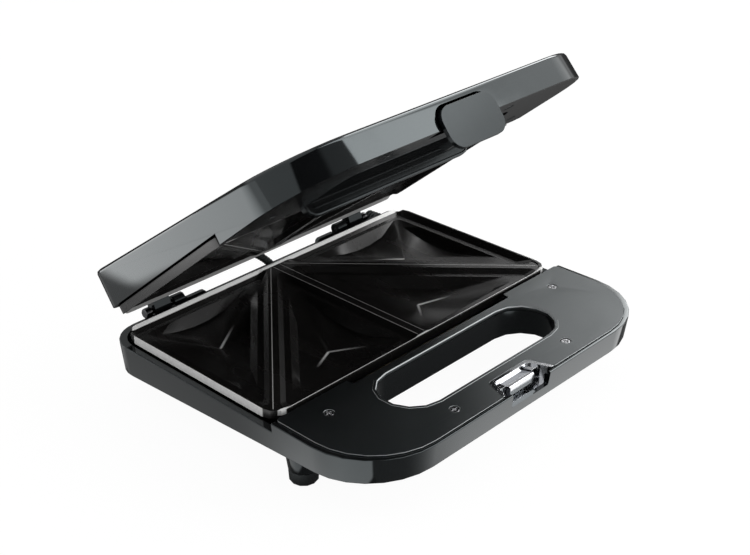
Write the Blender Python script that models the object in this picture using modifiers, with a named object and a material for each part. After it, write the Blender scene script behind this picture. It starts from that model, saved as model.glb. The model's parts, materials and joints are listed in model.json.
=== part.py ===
"""A two-slice sandwich maker with a hinged lid, triangular wells, a hand hole and a snap latch.

Lengths are in metres. +X points right, +Y to the back and +Z up.
Pieces are drawn as if the lid were shut, from the middle of the lower plate's rim.
Empties then stand the base on its feet, swing the lid open and carry the latch.
"""

import math

import bmesh
import bpy
from mathutils import Matrix, Vector

# Sizes that several pieces share
plate_width = 0.226
plate_depth = 0.1276
rim_height = 0.038
handle_depth = 0.0725
fit = 0.0003
overrun = 0.003
lid_open_angle = math.radians(38.72)

# Base shell
shell_wall = 0.004
shell_floor = 0.0022
shell_draft = 0.002
shell_front_radius = 0.0435
shell_rear_radius = 0.020
shell_edge_radius = 0.0022
shell_depth_front = 0.0152
shell_depth_rear = 0.0263
shell_top_drop = 0.0008
bay_top_drop = 0.0062
bay_gap = 0.0015
bay_front_radius = 0.004
rear_space = 0.0072
step_gap = 0.0022
ledge_width = 0.0017
boss_radius = 0.0036
post_radius = 0.004
screw_post_radius = 0.0052

# Slot along the front of the lower plate
slot_side_border = 0.047
slot_end_slant = 0.0018
slot_width = 0.0057
slot_depth = 0.0093
slot_wall = 0.0028

# Vents in the underside
vent_count = 5
vent_width = 0.003
vent_length = 0.024
vent_pitch = 0.008
vent_side_border = 0.051
vent_centre = 0.002

# Handle panel and its hand hole
panel_thickness = 0.0025
panel_side_border = 0.0035
panel_front_border = 0.002
panel_front_radius = 0.042
panel_edge_radius = 0.0006
hole_setback = 0.0292
hole_side_border = 0.0535
hole_radius = 0.0192
hole_lip_radius = 0.0015
hole_lip_rise = 0.0004
hole_wall = 0.0025

# Cooking plates
plate_corner_radius = 0.011
plate_side_height = 0.005
plate_thickness = 0.0143
plate_step = 0.006
rim_land = 0.0012
ridge_drop = 0.0007
ridge_half_width = 0.0021
ridge_end_land = 0.0005
land_depth = 0.0035
land_width = 0.0036
pocket_corner_radius = 0.0032
well_corner_radius = 0.0045
well_wall_run = 0.0042
well_corner_depth = 0.0022
well_bow = 0.0048
well_depth = 0.0120
plates_apart = 0.0006

# Heating elements, thermostats and other electrical pieces
element_radius = 0.0029
element_depth = 0.0131
element_bend = 0.012
element_side_inset = 0.0155
element_front_side_inset = 0.028
element_turn_inset = 0.0178
element_front_inset = 0.0068
element_back_inset = 0.0118
element_leg = 0.012
element_end_inset = 0.0023
element_end_leg = 0.009
thermostat_radius = 0.007
thermostat_height = 0.0045
thermostat_side_inset = 0.063
thermostat_back_inset = 0.0318
blade_width = 0.0035
blade_thickness = 0.0008
blade_reach = 0.004
fuse_radius = 0.002
fuse_length = 0.018
fuse_side_inset = 0.068
fuse_back_inset = 0.0288
block_length = 0.020
block_width = 0.008
block_height = 0.009
block_side_inset = 0.0345
block_back_inset = 0.0072
block_bore_radius = 0.0012

# Catch in the front of the base
pocket_front_half_width = 0.0205
pocket_rear_half_width = 0.0150
pocket_depth = 0.0136
pocket_radius = 0.0035
pocket_rebate = 0.0013
pocket_rebate_depth = 0.0009
catch_wall = 0.0008
catch_flange = 0.0010
catch_flange_height = 0.0006
catch_bottom = 0.0126
catch_block_half_width = 0.0100
catch_block_setback = 0.0025
catch_block_drop = 0.0012
catch_block_slope = 0.0020
catch_ledge_inner = 0.0108
catch_ledge_top = 0.0012
catch_ledge_bottom = 0.0039
catch_ledge_reach = 0.0065
mouth_top_half_width = 0.0158
mouth_bottom_half_width = 0.0154
mouth_depth = 0.0090
mouth_radius = 0.0010

# Screws
screw_head_radius = 0.0026
screw_head_height = 0.0011
screw_shank_radius = 0.0012
screw_length = 0.0095
screw_cross_width = 0.0006
screw_cross_length = 0.0036
screw_cross_depth = 0.0007
counterbore_radius = 0.0031
counterbore_depth = 0.0014
panel_screw_outer_border = 0.0263
panel_screw_outer_back = 0.0153
panel_screw_inner_border = 0.0721
panel_screw_inner_back = 0.0592
plate_screw_front_inset = 0.0388
plate_screw_rear_inset = 0.0338
plate_screw_head_lift = 0.0030
plate_screw_bite = 0.0050

# Feet
front_foot_border = 0.0145
front_foot_back = 0.0075
front_foot_radius = 0.0082
front_foot_height = 0.0075
rear_foot_border = 0.0325
rear_foot_back_border = 0.025
rear_foot_radius = 0.0075
rear_foot_height = 0.0060
foot_flare = 0.0016
foot_edge = 0.0010
foot_spigot_radius = 0.003
foot_spigot_height = 0.003

# Cord gland
gland_border = 0.013
gland_drop = 0.0118
gland_radius = 0.0055
gland_groove = 0.0010
gland_neck_radius = 0.0043
gland_bore_radius = 0.0034
gland_flange = 0.0020
gland_inside = 0.0102
gland_outside = 0.0092
gland_rib_count = 3

# Hinge
hinge_inset = 0.0018
hinge_drop = 0.0027
barrel_radius = 0.004
pin_radius = 0.0018
pin_head_radius = 0.0031
pin_head_edge = 0.0006
hinge_border = 0.0273
pin_head_length = 0.0046
pin_head_gap = 0.0013
knuckle_length = 0.0113
knuckle_gap = 0.0030
ear_length = 0.0076
ear_root_depth = 0.0110
raised_wall_length = 0.0174
raised_wall_drop = 0.0034
raised_wall_thickness = 0.0026
raised_wall_radius = 0.0025
relief_side = 0.0006
relief_below = 0.0010

# Wire sleeve between base and lid
sleeve_radius = 0.0025
sleeve_base_x = 0.006
sleeve_lid_x = -0.014
sleeve_clearance = 0.0005
sleeve_base_depth = 0.0180
sleeve_rise_depth = 0.0060
sleeve_mouth_lift = 0.0090
sleeve_mouth_back = 0.0030
sleeve_end_lift = 0.0104
sleeve_end_back = 0.0050
sleeve_notch_half_width = 0.0088
sleeve_notch_height = 0.0150

# Lid cover
cover_gap = 0.0005
cover_wall = 0.0025
cover_draft = 0.0008
cover_front_radius = 0.040
cover_rear_radius = 0.015
cover_edge_radius = 0.0022
cover_rear_gap = 0.0022
cover_overhang = 0.0022
cover_height_front = 0.0162
cover_height_rear = 0.0298
cover_side_clear = 0.0064
arm_root_low = 0.0070
arm_root_high = 0.0125
arm_root_skin = 0.0002

# Lid frame: the black moulding over the handle
frame_thickness = 0.0024
frame_rear_gap = 0.0006
frame_corner_radius = 0.002
recess_side_gap = 0.002
recess_setback = 0.0267
recess_height = 0.0100
recess_wall = 0.0018
recess_corner_radius = 0.012
tongue_side_gap = 0.003
tongue_top = 0.0080
tongue_bottom = 0.0063
tongue_thickness = 0.0035
tongue_front_gap = 0.0010
tongue_bead_radius = 0.0007
rib_height = 0.0007
rib_width = 0.0009
rib_high = 0.0017
rib_low = 0.0015
rib_inset = 0.006
latch_ear_inner_x = 0.0217
latch_ear_outer_x = 0.0243
latch_ear_radius = 0.0022

# Latch
latch_half_width = 0.0203
latch_top = 0.0109
latch_bottom = 0.0120
latch_corner_radius = 0.008
latch_thickness = 0.0024
latch_proud = 0.0026
latch_gap = 0.0011
latch_top_gap = 0.0019
latch_edge_radius = 0.0007
latch_pivot_back = 0.0058
latch_pivot_height = 0.0086
latch_pin_radius = 0.0012
prong_inner_x = 0.0113
prong_outer_x = 0.0146
prong_boss_radius = 0.0024
prong_web = 0.0040
hook_top = 0.0046
hook_bottom = 0.0079
hook_tip_back = 0.0134
hook_tip_drop = 0.0060
hook_heel_back = 0.0112
spring_half_length = 0.006
spring_turns = 4
spring_turn_steps = 6
spring_radius = 0.0022
spring_wire_radius = 0.0004
spring_leg = 0.0065

# Lamps and stud on top of the lid
lamp_distance = 0.0140
lamp_half_spacing = 0.0052
lamp_radius = 0.0030
lamp_rise = 0.0010
lamp_body_depth = 0.0055
bezel_half_length = 0.0105
bezel_half_width = 0.0050
bezel_height = 0.0014
bezel_edge_radius = 0.0005
stud_radius = 0.0026
stud_height = 0.0012
stud_back = 0.0115
stud_stem_radius = 0.0012

# Shares of the sizes above
front_post_shares = (0.27, -0.36)
rear_post_shares = (0.40, 0.36)
block_bore_share = 0.3
sleeve_lean_share = 0.7
lens_profile_shares = ((0.5, 0.25), (0.87, 0.7))
bezel_corner_share = 0.8
stud_crown_share = 0.7
stud_edge_share = 0.6
bead_inset_share = 1.5
spring_leg_shares = (0.6, 1.3)

# Counts and tolerances of the drawing
corner_steps = 7
small_corner_steps = 3
round_segments = 10
turned_steps = 12
bevel_segments = 2
well_side_steps = 5
sleeve_steps = 4
weld = 0.000001
screw_merge = 0.00001
sharp_angle = math.radians(35)

# Places worked out from the sizes above
bay_half = plate_width / 2 + bay_gap
shell_half = bay_half + shell_wall
bay_front = -plate_depth / 2 - bay_gap
bay_rear = plate_depth / 2 + rear_space
shell_rear = bay_rear + shell_wall
step_y = -plate_depth / 2 - step_gap
shell_front = step_y - handle_depth
panel_half = shell_half - panel_side_border
panel_front = shell_front + panel_front_border
hole_y = step_y - hole_setback
slot_front = bay_front - slot_width
hinge = Vector((0, shell_rear - hinge_inset, -hinge_drop))
slot_half_width = plate_width / 2 - slot_side_border
recess_half_width = slot_half_width - recess_side_gap
tongue_half_width = slot_half_width - tongue_side_gap
hole_half_length = shell_half - hole_side_border
vent_start = plate_width / 2 - vent_side_border - vent_pitch * (vent_count - 1)
pin_head_outer_x = shell_half - hinge_border
pin_head_inner_x = pin_head_outer_x - pin_head_length
knuckle_outer_x = pin_head_inner_x - pin_head_gap
knuckle_inner_x = knuckle_outer_x - knuckle_length
ear_outer_x = knuckle_inner_x - knuckle_gap
ear_inner_x = ear_outer_x - ear_length
raised_wall_inner_x = ear_inner_x - raised_wall_length
element_side = plate_width / 2 - element_side_inset
element_front_side = plate_width / 2 - element_front_side_inset
element_turn = plate_depth / 2 - element_turn_inset
element_front = plate_depth / 2 - element_front_inset
element_back = plate_depth / 2 - element_back_inset
element_end = plate_depth / 2 - element_end_inset
thermostat_left = plate_width / 2 - thermostat_side_inset
thermostat_back = plate_depth / 2 - thermostat_back_inset
fuse_right = plate_width / 2 - fuse_side_inset
fuse_back = plate_depth / 2 - fuse_back_inset
block_right = bay_half - block_side_inset
block_back = bay_rear - block_back_inset
panel_screw_outer_x = shell_half - panel_screw_outer_border
panel_screw_inner_x = shell_half - panel_screw_inner_border
plate_screw_front = plate_depth / 2 - plate_screw_front_inset
plate_screw_rear = plate_depth / 2 - plate_screw_rear_inset
front_foot_x = shell_half - front_foot_border
rear_foot_x = shell_half - rear_foot_border
rear_foot_y = shell_rear - rear_foot_back_border
gland_x = shell_half - gland_border
cover_half = plate_width / 2 + cover_gap + cover_wall
cover_front = shell_front - cover_overhang
cover_rear = plate_depth / 2 + cover_rear_gap + cover_wall
cover_slope_share = (cover_height_rear - cover_height_front) / (cover_rear - cover_front)
cover_tilt = math.atan(cover_slope_share)
recess_front = cover_front + recess_setback
latch_pivot = Vector((0, cover_front + latch_pivot_back, latch_pivot_height))
pocket_rear = panel_front + pocket_depth
frame_top = plates_apart + frame_thickness
plate_back = plates_apart + plate_thickness
panel_screw_places = [
    (side * x, step_y - back)
    for side in (-1, 1)
    for x, back in (
        (panel_screw_outer_x, panel_screw_outer_back),
        (panel_screw_inner_x, panel_screw_inner_back),
    )
]
post_places = [
    (side * plate_width * x_share, plate_depth * y_share)
    for x_share, y_share in (front_post_shares, rear_post_shares)
    for side in (-1, 1)
]


def base_floor(y, lift=0):
    """Height of the base's sloping underside at y, plus lift."""
    back_share = (y - shell_front) / (shell_rear - shell_front)
    return lift - shell_depth_front - (shell_depth_rear - shell_depth_front) * back_share


def cover_top(y, lift=0):
    """Height of the lid's sloping top at y, plus lift."""
    return lift + cover_height_front + (y - cover_front) * cover_slope_share


def swung_open(point):
    """Where a point of the shut lid lies when the lid is open."""
    return hinge + Matrix.Rotation(-lid_open_angle, 3, "X") @ (Vector(point) - hinge)


# Collections and the empties that carry the pieces
def clear_scene():
    for old in list(bpy.data.objects):
        bpy.data.objects.remove(old, do_unlink=True)


def new_collection(name):
    collection = bpy.data.collections.new(name)
    bpy.context.scene.collection.children.link(collection)
    return collection


def new_carrier(name, place, parent=None):
    carrier = bpy.data.objects.new(name, None)
    carrier.empty_display_size = plate_side_height
    carrier.location = place
    carrier.parent = parent
    parts.objects.link(carrier)
    return carrier


def put(piece, carrier, cutter=False):
    """Hangs a piece, drawn in the shut lid's coordinates, on its carrier."""
    piece.parent = carrier
    piece.location -= pivots[carrier.name]
    if cutter:
        cutters.objects.link(piece)
        piece.hide_render = True
        piece.display_type = "WIRE"
    else:
        parts.objects.link(piece)
    return piece


def made(name, mesh, carrier, cutter):
    bmesh.ops.recalc_face_normals(mesh, faces=mesh.faces)
    data = bpy.data.meshes.new(name)
    mesh.to_mesh(data)
    mesh.free()
    return put(bpy.data.objects.new(name, data), carrier, cutter)


# Outlines
def arc(centre_x, centre_y, radius, start, end, steps):
    turns = (start + (end - start) * step / steps for step in range(steps + 1))
    return [(centre_x + radius * math.cos(t), centre_y + radius * math.sin(t)) for t in turns]


def rounded_rectangle(half_width, front, rear, front_radius, rear_radius, steps=corner_steps):
    """A rectangle with round corners, anticlockwise from its rear right corner."""
    quarter = math.pi / 2
    right, left = half_width - rear_radius, rear_radius - half_width
    points = arc(right, rear - rear_radius, rear_radius, 0, quarter, steps)
    points += arc(left, rear - rear_radius, rear_radius, quarter, 2 * quarter, steps)
    right, left = half_width - front_radius, front_radius - half_width
    points += arc(left, front + front_radius, front_radius, 2 * quarter, 3 * quarter, steps)
    points += arc(right, front + front_radius, front_radius, 3 * quarter, 4 * quarter, steps)
    return points


def stadium(half_length, radius, centre, steps=corner_steps):
    half_turn = math.pi / 2
    points = arc(half_length - radius, centre, radius, -half_turn, half_turn, steps)
    points += arc(radius - half_length, centre, radius, half_turn, 3 * half_turn, steps)
    return points


def filleted(corners, steps=small_corner_steps, closed=True):
    """Rounds each corner (x, y, radius) of a line or a closed outline."""
    points = []
    for index, (x, y, radius) in enumerate(corners):
        at_end = not closed and index in (0, len(corners) - 1)
        if radius == 0 or at_end:
            points.append((x, y))
            continue
        corner = Vector((x, y))
        before = (Vector(corners[index - 1][:2]) - corner).normalized()
        after = (Vector(corners[(index + 1) % len(corners)][:2]) - corner).normalized()
        half_angle = before.angle(after) / 2
        centre = corner + (before + after).normalized() * radius / math.sin(half_angle)
        start = corner + before * radius / math.tan(half_angle) - centre
        sweep = start.angle_signed(corner + after * radius / math.tan(half_angle) - centre)
        for step in range(steps + 1):
            spoke = start.copy()
            spoke.rotate(Matrix.Rotation(-sweep * step / steps, 2))
            points.append(tuple(centre + spoke))
    return points


# Solids
def at_height(outline, height):
    return [(x, y, height(y)) for x, y in outline]


def loft(name, rings, carrier, cutter=False, apex=None, rounded_ring=None):
    """A skin over rings of equally many points. A fan closes the last ring if it has an apex."""
    mesh = bmesh.new()
    weight = mesh.edges.layers.float.new("bevel_weight_edge")
    loops = [[mesh.verts.new(point) for point in ring] for ring in rings]
    count = len(loops[0])
    for lower, upper in zip(loops, loops[1:]):
        for i in range(count):
            j = (i + 1) % count
            mesh.faces.new((lower[i], lower[j], upper[j], upper[i]))
    mesh.faces.new(loops[0])
    if apex is None:
        mesh.faces.new(loops[-1])
    else:
        tip = mesh.verts.new(apex)
        for i in range(count):
            mesh.faces.new((loops[-1][i], loops[-1][(i + 1) % count], tip))
    if rounded_ring is not None:
        loop = loops[rounded_ring]
        for i in range(count):
            mesh.edges.get((loop[i], loop[(i + 1) % count]))[weight] = 1
    return made(name, mesh, carrier, cutter)


def mesh_of_curve(name, curve):
    """The welded mesh of a curve that is then removed."""
    source = bpy.data.objects.new(name, curve)
    bpy.context.scene.collection.objects.link(source)
    bpy.context.view_layer.update()
    graph = bpy.context.evaluated_depsgraph_get()
    data = bpy.data.meshes.new_from_object(source.evaluated_get(graph))
    mesh = bmesh.new()
    mesh.from_mesh(data)
    bmesh.ops.remove_doubles(mesh, verts=mesh.verts, dist=weld)
    bpy.data.objects.remove(source)
    bpy.data.curves.remove(curve)
    bpy.data.meshes.remove(data)
    return mesh


def prism(name, outlines, low, high, carrier, cutter=False, axis="Z"):
    """Flat outlines, the inner ones as holes, made as thick as from low to high along an axis."""
    curve = bpy.data.curves.new(name, "CURVE")
    curve.dimensions = "2D"
    curve.fill_mode = "BOTH"
    curve.extrude = (high - low) / 2
    for outline in outlines:
        spline = curve.splines.new("POLY")
        spline.points.add(len(outline) - 1)
        spline.use_cyclic_u = True
        for point, (u, v) in zip(spline.points, outline):
            point.co = (u, v, 0, 1)
    mesh = mesh_of_curve(name, curve)
    middle = (low + high) / 2
    for vertex in mesh.verts:
        u, v, w = vertex.co
        places = {"X": (w + middle, u, v), "Y": (u, w + middle, v), "Z": (u, v, w + middle)}
        vertex.co = places[axis]
    return made(name, mesh, carrier, cutter)


def tube(name, points, radius, carrier, cutter=False, closed=False):
    """A round tube along points, with filled ends."""
    curve = bpy.data.curves.new(name, "CURVE")
    curve.dimensions = "3D"
    curve.bevel_depth = radius
    curve.bevel_resolution = 1
    curve.use_fill_caps = True
    spline = curve.splines.new("POLY")
    spline.points.add(len(points) - 1)
    spline.use_cyclic_u = closed
    for point, place in zip(spline.points, points):
        point.co = (*place, 1)
    return made(name, mesh_of_curve(name, curve), carrier, cutter)


def rod(name, start, end, radius, carrier, cutter=False, end_radius=None, segments=round_segments):
    """A cylinder or cone from start to end."""
    start, end = Vector(start), Vector(end)
    along = end - start
    turn = along.to_track_quat("Z", "Y").to_matrix().to_4x4()
    mesh = bmesh.new()
    bmesh.ops.create_cone(
        mesh,
        cap_ends=True,
        segments=segments,
        radius1=radius,
        radius2=radius if end_radius is None else end_radius,
        depth=along.length,
        matrix=Matrix.Translation((start + end) / 2) @ turn,
    )
    return made(name, mesh, carrier, cutter)


def box(name, low, high, carrier, cutter=False):
    low, high = Vector(low), Vector(high)
    mesh = bmesh.new()
    bmesh.ops.create_cube(mesh, size=1)
    bmesh.ops.scale(mesh, vec=high - low, verts=mesh.verts)
    bmesh.ops.translate(mesh, vec=(low + high) / 2, verts=mesh.verts)
    return made(name, mesh, carrier, cutter)


def hull(name, points, carrier, cutter=False):
    mesh = bmesh.new()
    for point in points:
        mesh.verts.new(point)
    found = bmesh.ops.convex_hull(mesh, input=mesh.verts)
    unused = [item for item in found["geom_interior"] if isinstance(item, bmesh.types.BMVert)]
    bmesh.ops.delete(mesh, geom=unused, context="VERTS")
    return made(name, mesh, carrier, cutter)


def turned(name, profile, place, carrier, direction=(0, 0, 1), cutter=False, steps=turned_steps):
    """A turned shape. Its profile of (radius, height) runs down the outer side, top to bottom."""
    data = bpy.data.meshes.new(name)
    edges = [(i, i + 1) for i in range(len(profile) - 1)]
    data.from_pydata([(radius, 0, height) for radius, height in profile], edges, [])
    piece = bpy.data.objects.new(name, data)
    piece.location = place
    piece.rotation_euler = Vector(direction).to_track_quat("Z", "Y").to_euler()
    screw = piece.modifiers.new("Turn", "SCREW")
    screw.axis = "Z"
    screw.steps = steps
    screw.render_steps = steps
    screw.use_merge_vertices = True
    screw.merge_threshold = screw_merge
    screw.use_smooth_shade = True
    return put(piece, carrier, cutter)


def combine(piece, others, operation):
    for other in others:
        modifier = piece.modifiers.new(other.name, "BOOLEAN")
        modifier.operation = operation
        modifier.object = other


def cut(piece, *others):
    combine(piece, others, "DIFFERENCE")


def join(piece, *others):
    combine(piece, others, "UNION")


def round_edges(piece, width, weighted=False):
    bevel = piece.modifiers.new("Round edges", "BEVEL")
    bevel.width = width
    bevel.segments = bevel_segments
    bevel.limit_method = "WEIGHT" if weighted else "ANGLE"
    bevel.angle_limit = sharp_angle


def finish(piece, colour, roughness, metallic=0):
    """Gives a piece its own material."""
    material = bpy.data.materials.new(piece.name)
    material.use_nodes = True
    shader = material.node_tree.nodes["Principled BSDF"]
    shader.inputs["Base Color"].default_value = (*colour, 1)
    shader.inputs["Roughness"].default_value = roughness
    shader.inputs["Metallic"].default_value = metallic
    material.diffuse_color = (*colour, 1)
    piece.data.materials.clear()
    piece.data.materials.append(material)


def gloss_black(piece):
    finish(piece, (0.010, 0.011, 0.012), 0.12)


def satin_black(piece):
    finish(piece, (0.012, 0.012, 0.013), 0.42)


def rubber_black(piece):
    finish(piece, (0.015, 0.015, 0.015), 0.75)


def steel(piece):
    finish(piece, (0.62, 0.62, 0.63), 0.28, 1)


def chrome(piece):
    finish(piece, (0.80, 0.80, 0.82), 0.08, 1)


# Screws, shared by the panel, the lid frame and the lower plate
def make_screw(name, seat, up, carrier):
    """A pan head screw whose head sits on seat and looks along up, 1 or -1 times Z."""
    x, y, z = seat
    head_top = z + up * screw_head_height
    screw = rod(name, (x, y, z), (x, y, head_top), screw_head_radius, carrier)
    shank_start = z + up * screw_head_height / 2
    shank_end = z - up * screw_length
    shank = rod(name + "_shank", (x, y, shank_start), (x, y, shank_end), screw_shank_radius, carrier, True)
    join(screw, shank)
    reach, half = screw_cross_length / 2, screw_cross_width / 2
    z_low = min(head_top - up * screw_cross_depth, head_top + up * overrun)
    z_high = max(head_top - up * screw_cross_depth, head_top + up * overrun)
    for index, (span_x, span_y) in enumerate(((reach, half), (half, reach))):
        low, high = (x - span_x, y - span_y, z_low), (x + span_x, y + span_y, z_high)
        cut(screw, box(f"{name}_cross_{index}", low, high, carrier, True))
    steel(screw)


def corner_name(x, y, front_limit):
    return ("front" if y < front_limit else "rear") + ("_left" if x < 0 else "_right")


# Base shell: a tray whose wall steps up round the handle
def shell_outline(inset):
    return rounded_rectangle(
        shell_half - inset,
        shell_front + inset,
        shell_rear - inset,
        shell_front_radius - inset,
        shell_rear_radius - inset,
    )


def make_base_shell(base):
    underside = at_height(shell_outline(shell_draft), base_floor)
    top = at_height(shell_outline(0), lambda y: -shell_top_drop)
    shell = loft("base_shell", [underside, top], base)
    step_low = (-shell_half - overrun, step_y, -bay_top_drop)
    step_high = (shell_half + overrun, shell_rear + overrun, overrun)
    cut(shell, box("shell_step", step_low, step_high, base, True))
    round_edges(shell, shell_edge_radius)
    cut(shell, *bay_cutters(base))
    join(shell, *shell_bosses(base))
    cut(shell, *shell_holes(base))
    gloss_black(shell)


def bay_cutters(base):
    """The hollow under the plate, the hollow of the handle, the panel's rebate and the slot."""
    inner_radius = shell_rear_radius - shell_wall

    def bay_outline(inset):
        return rounded_rectangle(bay_half - inset, bay_front, bay_rear - inset, bay_front_radius, inner_radius)

    low = at_height(bay_outline(shell_draft), lambda y: base_floor(y, shell_floor))
    high = at_height(bay_outline(0), lambda y: overrun)
    bay = loft("plate_bay", [low, high], base, True)

    handle_rear = slot_front - slot_wall
    front_radius = shell_front_radius - shell_wall - ledge_width

    def handle_outline(inset):
        half = bay_half - ledge_width - inset
        front = shell_front + shell_wall + inset
        return rounded_rectangle(half, front, handle_rear, front_radius - inset, bay_front_radius)

    low = at_height(handle_outline(shell_draft), lambda y: base_floor(y, shell_floor))
    high = at_height(handle_outline(0), lambda y: overrun)
    handle_bay = loft("handle_bay", [low, high], base, True)
    collar_outline = stadium(hole_half_length + hole_wall, hole_radius + hole_wall, hole_y)
    collar = prism("hand_hole_collar", [collar_outline], -rim_height, rim_height, base, True)
    cut(handle_bay, collar)

    rebate_outline = rounded_rectangle(
        panel_half + fit,
        panel_front - fit,
        step_y + overrun,
        panel_front_radius + fit,
        bay_front_radius,
    )
    rebate = prism("panel_rebate", [rebate_outline], -panel_thickness - fit, overrun, base, True)
    catch_shape = pocket_outline(fit, shell_front + shell_wall)
    catch_room = prism("catch_room", [catch_shape], -catch_bottom - fit, overrun, base, True)
    return [bay, handle_bay, rebate, catch_room, slot_cutter("shell_slot", base, -slot_depth)]


def slot_cutter(name, base, low):
    """The narrow slot that the lid's tongue enters, with slanted ends."""
    outline = [
        (-slot_half_width, bay_front + overrun),
        (-slot_half_width + slot_end_slant, slot_front),
        (slot_half_width - slot_end_slant, slot_front),
        (slot_half_width, bay_front + overrun),
    ]
    return prism(name, [outline], low, overrun, base, True)


def shell_bosses(base):
    """Screw bosses, plate posts, foot bosses, hinge ears and the raised wall beside them."""
    bosses = []
    for index, (x, y) in enumerate(panel_screw_places):
        low, high = (x, y, base_floor(y, shell_floor / 2)), (x, y, -panel_thickness - fit)
        bosses.append(rod(f"panel_boss_{index}", low, high, boss_radius, base, True))
    for index, (x, y) in enumerate(post_places):
        low, high = (x, y, base_floor(y, shell_floor / 2)), (x, y, -plate_thickness - fit)
        bosses.append(rod(f"plate_post_{index}", low, high, post_radius, base, True))
    for index, y in enumerate((-plate_screw_front, plate_screw_rear)):
        low, high = (0, y, base_floor(y, shell_floor / 2)), (0, y, -plate_thickness - fit)
        bosses.append(rod(f"screw_post_{index}", low, high, screw_post_radius, base, True))
    for name, x, y, radius, height in foot_places():
        low, high = (x, y, height + fit - rim_height), (x, y, base_floor(y, shell_floor / 2))
        bosses.append(rod(name + "_boss", low, high, radius, base, True, radius + foot_flare, turned_steps))
    for side, hand in ((-1, "left"), (1, "right")):
        bosses.append(barrel_on_wall(f"hinge_ear_{hand}", base, side, ear_inner_x, ear_outer_x))
        bosses.append(raised_wall(f"raised_wall_{hand}", base, side))
    return bosses


def foot_places():
    front_y = step_y - front_foot_back
    places = []
    for side, hand in ((-1, "left"), (1, "right")):
        places.append((f"front_foot_{hand}", side * front_foot_x, front_y, front_foot_radius, front_foot_height))
        places.append((f"rear_foot_{hand}", side * rear_foot_x, rear_foot_y, rear_foot_radius, rear_foot_height))
    return places


def barrel_points(x):
    circle = arc(hinge.y, hinge.z, barrel_radius, 0, 2 * math.pi, round_segments)[:-1]
    return [(x, y, z) for y, z in circle]


def barrel_on_wall(name, base, side, inner, outer):
    """A hinge barrel that grows out of the base's rear wall."""
    points = []
    for x in (side * inner, side * outer):
        points += barrel_points(x)
        points += [(x, bay_rear + fit, -ear_root_depth), (x, shell_rear - fit, -ear_root_depth)]
    return hull(name, points, base, True)


def raised_wall(name, base, side):
    """The rear wall stands higher from here to the hinge ear. Its inner end is rounded."""
    low_x, high_x = sorted((side * raised_wall_inner_x, side * (ear_inner_x + fit)))
    low, top = -ear_root_depth, -raised_wall_drop
    inner_radius, outer_radius = (raised_wall_radius, 0) if side > 0 else (0, raised_wall_radius)
    corners = [(low_x, low, 0), (high_x, low, 0), (high_x, top, outer_radius), (low_x, top, inner_radius)]
    middle = (bay_rear + shell_rear) / 2
    half = raised_wall_thickness / 2
    return prism(name, [filleted(corners)], middle - half, middle + half, base, True, "Y")


def shell_holes(base):
    """Hand hole, screw bores, latch mouth, vents, gland hole, pin bores and knuckle reliefs."""
    below = -rim_height - overrun
    holes = [prism("hand_hole", [stadium(hole_half_length, hole_radius, hole_y)], below, overrun, base, True)]
    bore = screw_shank_radius + fit
    for index, (x, y) in enumerate(panel_screw_places):
        low = -counterbore_depth - screw_length - fit
        holes.append(rod(f"panel_bore_{index}", (x, y, low), (x, y, overrun), bore, base, True))
    for index, y in enumerate((-plate_screw_front, plate_screw_rear)):
        seat = base_floor(y, plate_screw_head_lift)
        holes.append(rod(f"plate_bore_{index}", (0, y, seat), (0, y, overrun), bore, base, True))
        holes.append(rod(f"plate_sink_{index}", (0, y, below), (0, y, seat), counterbore_radius, base, True))
    for name, x, y, radius, height in foot_places():
        seat = height + fit - rim_height
        top = seat + foot_spigot_height
        spigot = foot_spigot_radius + fit
        holes.append(rod(name + "_socket", (x, y, below), (x, y, top), spigot, base, True))
    mouth = [
        (mouth_top_half_width, overrun, 0),
        (-mouth_top_half_width, overrun, 0),
        (-mouth_bottom_half_width, -mouth_depth, mouth_radius),
        (mouth_bottom_half_width, -mouth_depth, mouth_radius),
    ]
    mouth_rear = shell_front + shell_wall + overrun
    holes.append(prism("latch_mouth", [filleted(mouth)], shell_front - overrun, mouth_rear, base, True, "Y"))
    for side in (-1, 1):
        for index in range(vent_count):
            x = side * (vent_start + vent_pitch * index)
            turned_slot = stadium(vent_length / 2, vent_width / 2, 0, 2)
            slot = [(x - v, vent_centre + u) for u, v in turned_slot]
            holes.append(prism(f"vent_{side}_{index}", [slot], below, base_floor(0, shell_floor + overrun), base, True))
    gland_start = (gland_x, shell_rear + overrun, -gland_drop)
    gland_end = (gland_x, bay_rear - shell_rear_radius, -gland_drop)
    holes.append(rod("gland_hole", gland_start, gland_end, gland_neck_radius + fit, base, True))
    for side, hand in ((-1, "left"), (1, "right")):
        start = (side * (ear_inner_x - overrun), hinge.y, hinge.z)
        end = (side * (ear_outer_x + overrun), hinge.y, hinge.z)
        holes.append(rod(f"ear_bore_{hand}", start, end, pin_radius + fit, base, True))
        xs = sorted((side * (knuckle_inner_x - relief_side), side * (knuckle_outer_x + relief_side)))
        low = (xs[0], bay_rear - overrun, hinge.z - barrel_radius - relief_below)
        holes.append(box(f"knuckle_relief_{hand}", low, (xs[1], shell_rear + overrun, overrun), base, True))
    return holes


# Handle panel
def pocket_outline(grow, front):
    """The catch pocket, wider at the front, grown outwards by a width."""
    slope_share = (pocket_front_half_width - pocket_rear_half_width) / pocket_depth
    front_half = pocket_front_half_width + (panel_front - front) * slope_share
    return filleted(
        [
            (front_half + grow, front, 0),
            (pocket_rear_half_width + grow, pocket_rear + grow, pocket_radius),
            (-pocket_rear_half_width - grow, pocket_rear + grow, pocket_radius),
            (-front_half - grow, front, 0),
        ]
    )


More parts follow.
